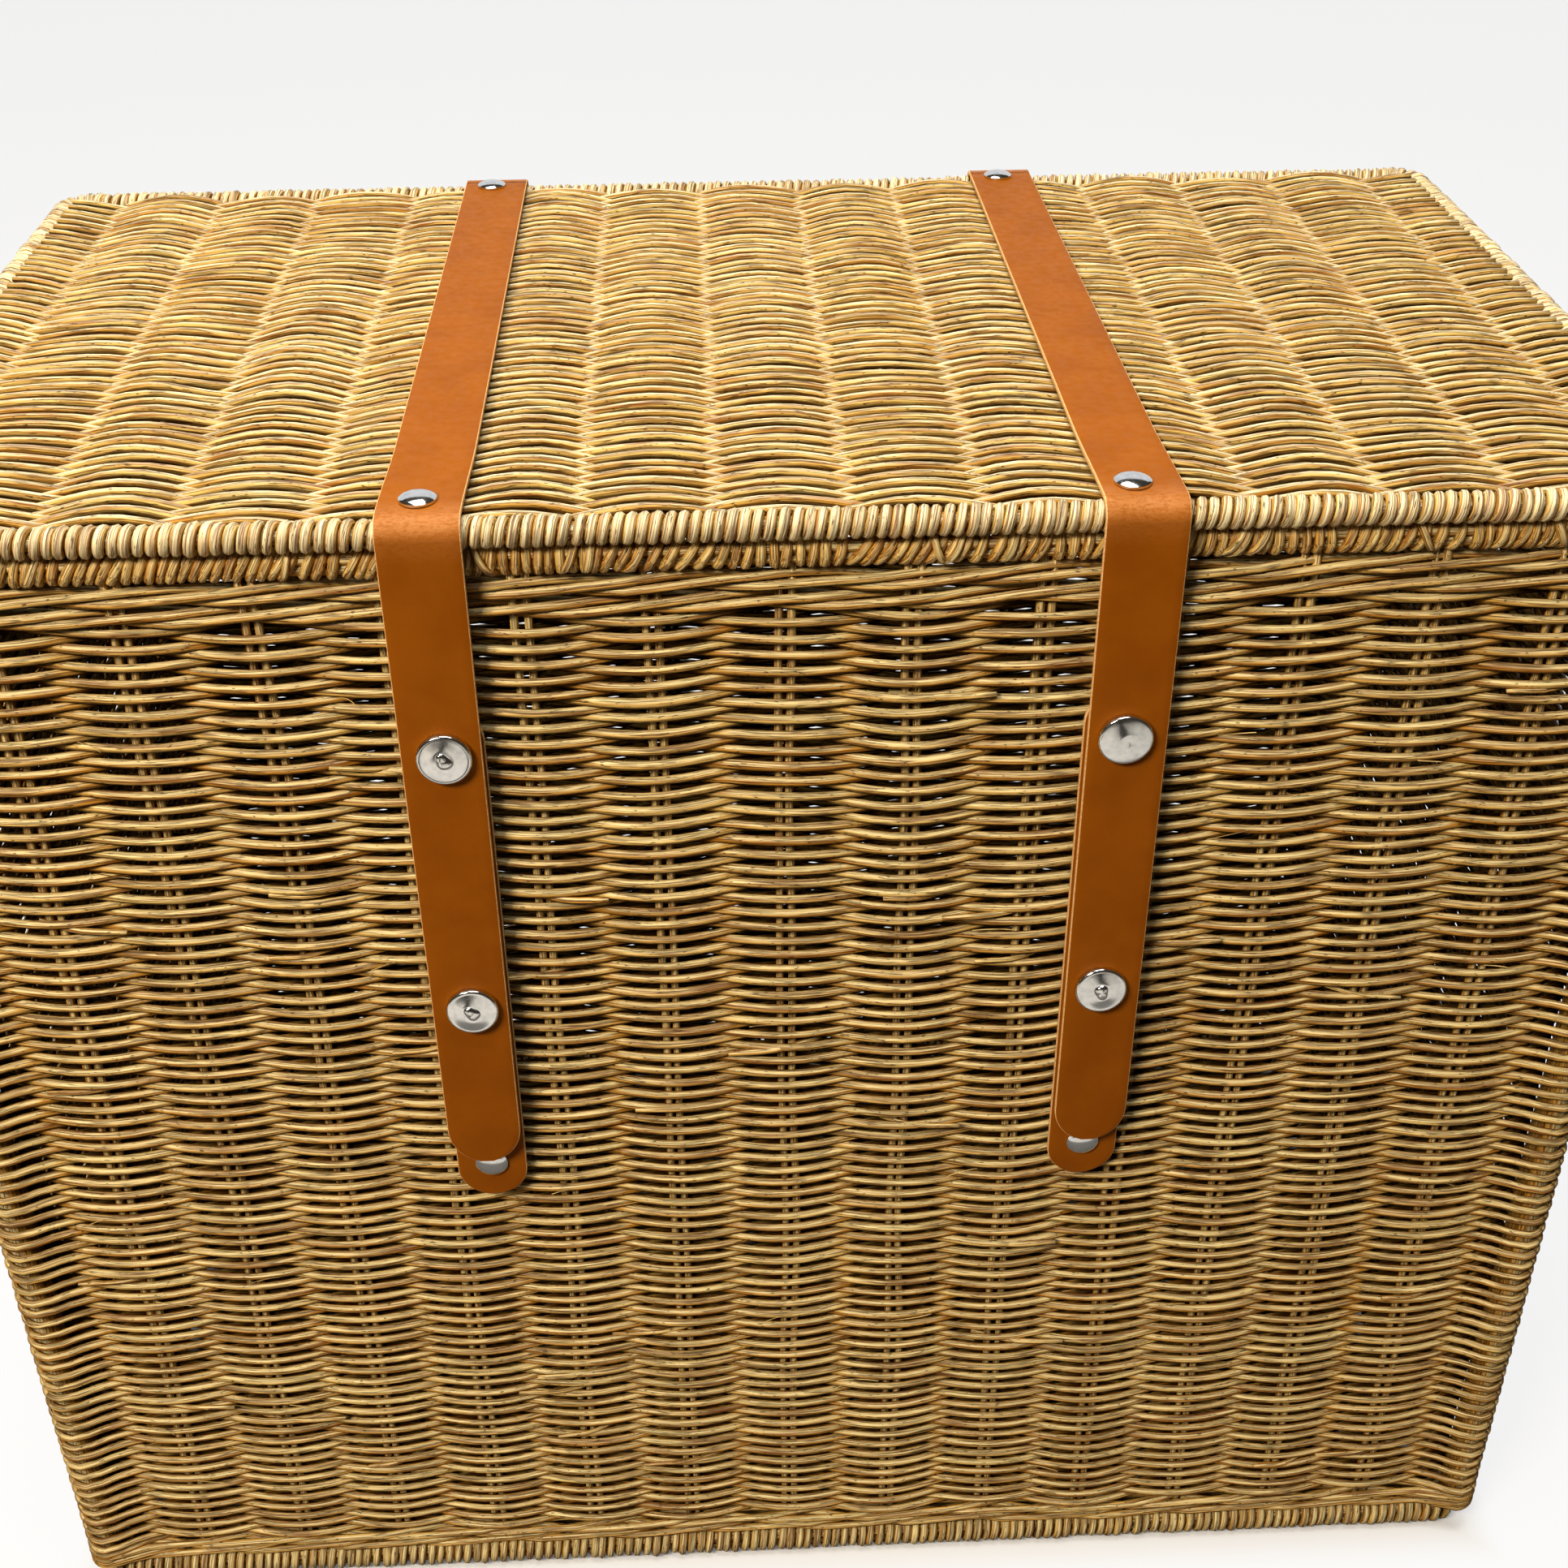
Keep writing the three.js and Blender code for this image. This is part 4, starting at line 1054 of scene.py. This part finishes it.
stud_rng = np.random.default_rng(83)
CAP_TILT = {"upper_left": 2, "lower_left": 3, "upper_right": 0, "lower_right": 4}
for side in ("left", "right"):
    flap_face = limits(f"strap_flap_{side}")[0][1]
    catch_face = limits(f"catch_strap_{side}")[0][1]
    for level in ("upper", "lower"):
        x, _, z = middle(f"{level}_stud_cap_{side}")
        tilt = math.radians(CAP_TILT[f"{level}_{side}"])
        outline = PLAIN_CAP_OUTLINE if (level, side) == ("upper", "right") else CAP_OUTLINE
        fitting(f"{level}_snap_cap_{side}", [outline], (x, flap_face, z),
                (0, -math.cos(tilt), math.sin(tilt)), f"flap_{side}",
                [f"{level}_stud_cap_{side}"], stud_rng)
        fitting(f"{level}_snap_post_{side}", [POST_OUTLINE], (x, catch_face, z), (0, -1, 0), "basket",
                [f"{level}_stud_post_{side}"])
        for strap, facing in (("catch", -1), ("hinge", 1)):
            name = f"{level}_{strap}_{side}"
            low, high = limits(f"{name}_rivet")
            x, _, z = middle(f"{name}_rivet")
            seat = low[1] + RIVET_HEAD if facing < 0 else high[1] - RIVET_HEAD
            inner = high[1] - RIVET_TAIL if facing < 0 else low[1] + RIVET_TAIL
            fitting(f"{name}_burr_rivet", rivet_outlines(abs(inner - seat)), (x, seat, z), (0, facing, 0),
                    "basket", [f"{name}_rivet", f"{name}_washer"])
    for end in ("front", "rear"):
        name = f"{end}_lid_{side}"
        low, high = limits(f"{name}_rivet")
        x, y, _ = middle(f"{name}_rivet")
        seat = high[2] - RIVET_HEAD
        fitting(f"{name}_burr_rivet", rivet_outlines(seat - low[2] - RIVET_TAIL), (x, y, seat), (0, 0, 1),
                "lid", [f"{name}_rivet", f"{name}_washer"])


# Floor, light and camera

def studio_material(name, seen_share):
    """White to the camera and to the rays in seen_share, and dim to the rest, so that it adds little light.
    Reflections see a painted pattern: a grey band, a painted shadow in front of the hamper and two painted
    dark strips."""
    material, tree, shader = new_material(name)
    tree.nodes.remove(shader)
    place = add(tree, "ShaderNodeTexCoord").outputs["Object"]
    rays = add(tree, "ShaderNodeLightPath")
    seen = rays.outputs["Is Camera Ray"]
    pale = mixed(tree, noise(tree, place, 2.0, 2.0), (0.86, 0.86, 0.86, 1), (0.9, 0.9, 0.9, 1))
    apart = add(tree, "ShaderNodeSeparateXYZ")
    feed(tree, apart, Vector=place)
    aside = maths(tree, "ABSOLUTE", apart.outputs["X"], 0.0)
    # Painted reflection: every ray but the camera's sees the floor nearly black beyond 1 m in front and in
    # two strips 0.33 m to either side, for the dark sectors in the studs.
    painted_strip_distance = maths(tree, "ABSOLUTE", less(tree, aside, 0.33), 0.0)
    painted_dark_reflection = maths(tree, "MAXIMUM", ramp(tree, apart.outputs["Y"], -1.12, -0.98), ramp(tree, painted_strip_distance, 0.09, 0.18))
    # Painted shadow: reflections see the floor less than about 0.6 m in front of the hamper dark grey,
    # standing for its shadow, and a grey band beyond it.
    shade = ramp(tree, apart.outputs["Y"], -0.66, -0.56)
    painted_reflection = mixed(tree, shade, (0.62, 0.62, 0.62, 1), (0.16, 0.16, 0.16, 1))
    dim = mixed(tree, rays.outputs["Is Glossy Ray"], (0.12, 0.1, 0.08, 1), painted_reflection)
    dim = mixed(tree, painted_dark_reflection, (0.04, 0.04, 0.04, 1), dim)
    matt = add(tree, "ShaderNodeBsdfDiffuse")
    feed(tree, matt, Color=mixed(tree, seen, dim, pale))
    glow = add(tree, "ShaderNodeEmission")
    for label in seen_share:
        seen = maths(tree, "MAXIMUM", seen, rays.outputs[label])
    beside = ramp(tree, aside, 0.33, 0.37)
    behind = ramp(tree, maths(tree, "ABSOLUTE", apart.outputs["Y"], 0.0), 0.18, 0.22)
    clear = maths(tree, "MAXIMUM", beside, behind)
    join = add(tree, "ShaderNodeMixShader")
    tree.links.new(times(tree, times(tree, seen, clear), 0.86), join.inputs[0])
    tree.links.new(matt.outputs[0], join.inputs[1])
    tree.links.new(glow.outputs[0], join.inputs[2])
    tree.links.new(join.outputs[0], tree.nodes["Material Output"].inputs["Surface"])
    return material


def studio_sheet(name, size, place, material):
    shape = bmesh.new()
    bmesh.ops.create_grid(shape, x_segments=4, y_segments=4, size=size, matrix=place)
    mesh = as_mesh(name, shape)
    mesh.materials.append(material)
    into_scene(name, mesh)


studio_sheet("floor", 8, Matrix.Identity(4), studio_material("studio_floor", []))
studio_sheet("backdrop", 2, Matrix.Translation((0, 4.5, 2.5)) @ Matrix.Rotation(math.pi / 2, 4, "X")
             @ Matrix.Diagonal((2.5, 1.3, 1, 1)), studio_material("studio_backdrop", ["Is Glossy Ray"]))


def soft_light(name, place, aim, size, watts, color):
    lamp = bpy.data.lights.new(name, "AREA")
    lamp.color = color
    lamp.shape = "RECTANGLE"
    lamp.size, lamp.size_y = size
    lamp.energy = watts
    holder = into_scene(name, lamp)
    holder.location = place
    holder.rotation_euler = (Vector(aim) - Vector(place)).to_track_quat("-Z", "Y").to_euler()


soft_light("overhead_softbox", (-0.1, -0.05, 2.3), (0, 0, 0.5), (1.5, 1.0), 47, (1.0, 0.975, 0.92))
soft_light("front_softbox", (-1.2, -1.7, 2.1), (0, -0.2, 0.3), (0.8, 0.5), 66, (1.0, 0.855, 0.66))

world = bpy.data.worlds.new("studio")
world.use_nodes = True
sky = world.node_tree
sky_seen = add(sky, "ShaderNodeLightPath").outputs["Is Camera Ray"]
feed(sky, sky.nodes["Background"], Color=mixed(sky, sky_seen, (1, 0.84, 0.62, 1), (1, 1, 1, 1)),
     Strength=ramp(sky, sky_seen, 0.0, 1.0, 0.05, 0.86))
bpy.context.scene.world = world
bpy.context.scene.view_settings.view_transform = "Standard"

yaw, pitch, roll = map(math.radians, (CAMERA_YAW, CAMERA_PITCH, CAMERA_ROLL))
ahead = Vector((math.sin(yaw) * math.cos(pitch), math.cos(yaw) * math.cos(pitch), -math.sin(pitch)))
right = Vector((math.cos(yaw), -math.sin(yaw), 0))
down = ahead.cross(right)
across = math.cos(roll) * right + math.sin(roll) * down
below = -math.sin(roll) * right + math.cos(roll) * down
lens = bpy.data.cameras.new("camera")
lens.sensor_width = 36
lens.lens = FOCAL / IMAGE * lens.sensor_width
camera = into_scene("camera", lens)
camera.matrix_world = Matrix.Translation(Vector(CAMERA_PLACE) * MM) @ Matrix(
    (across, -below, -ahead)).transposed().to_4x4()
bpy.context.scene.camera = camera
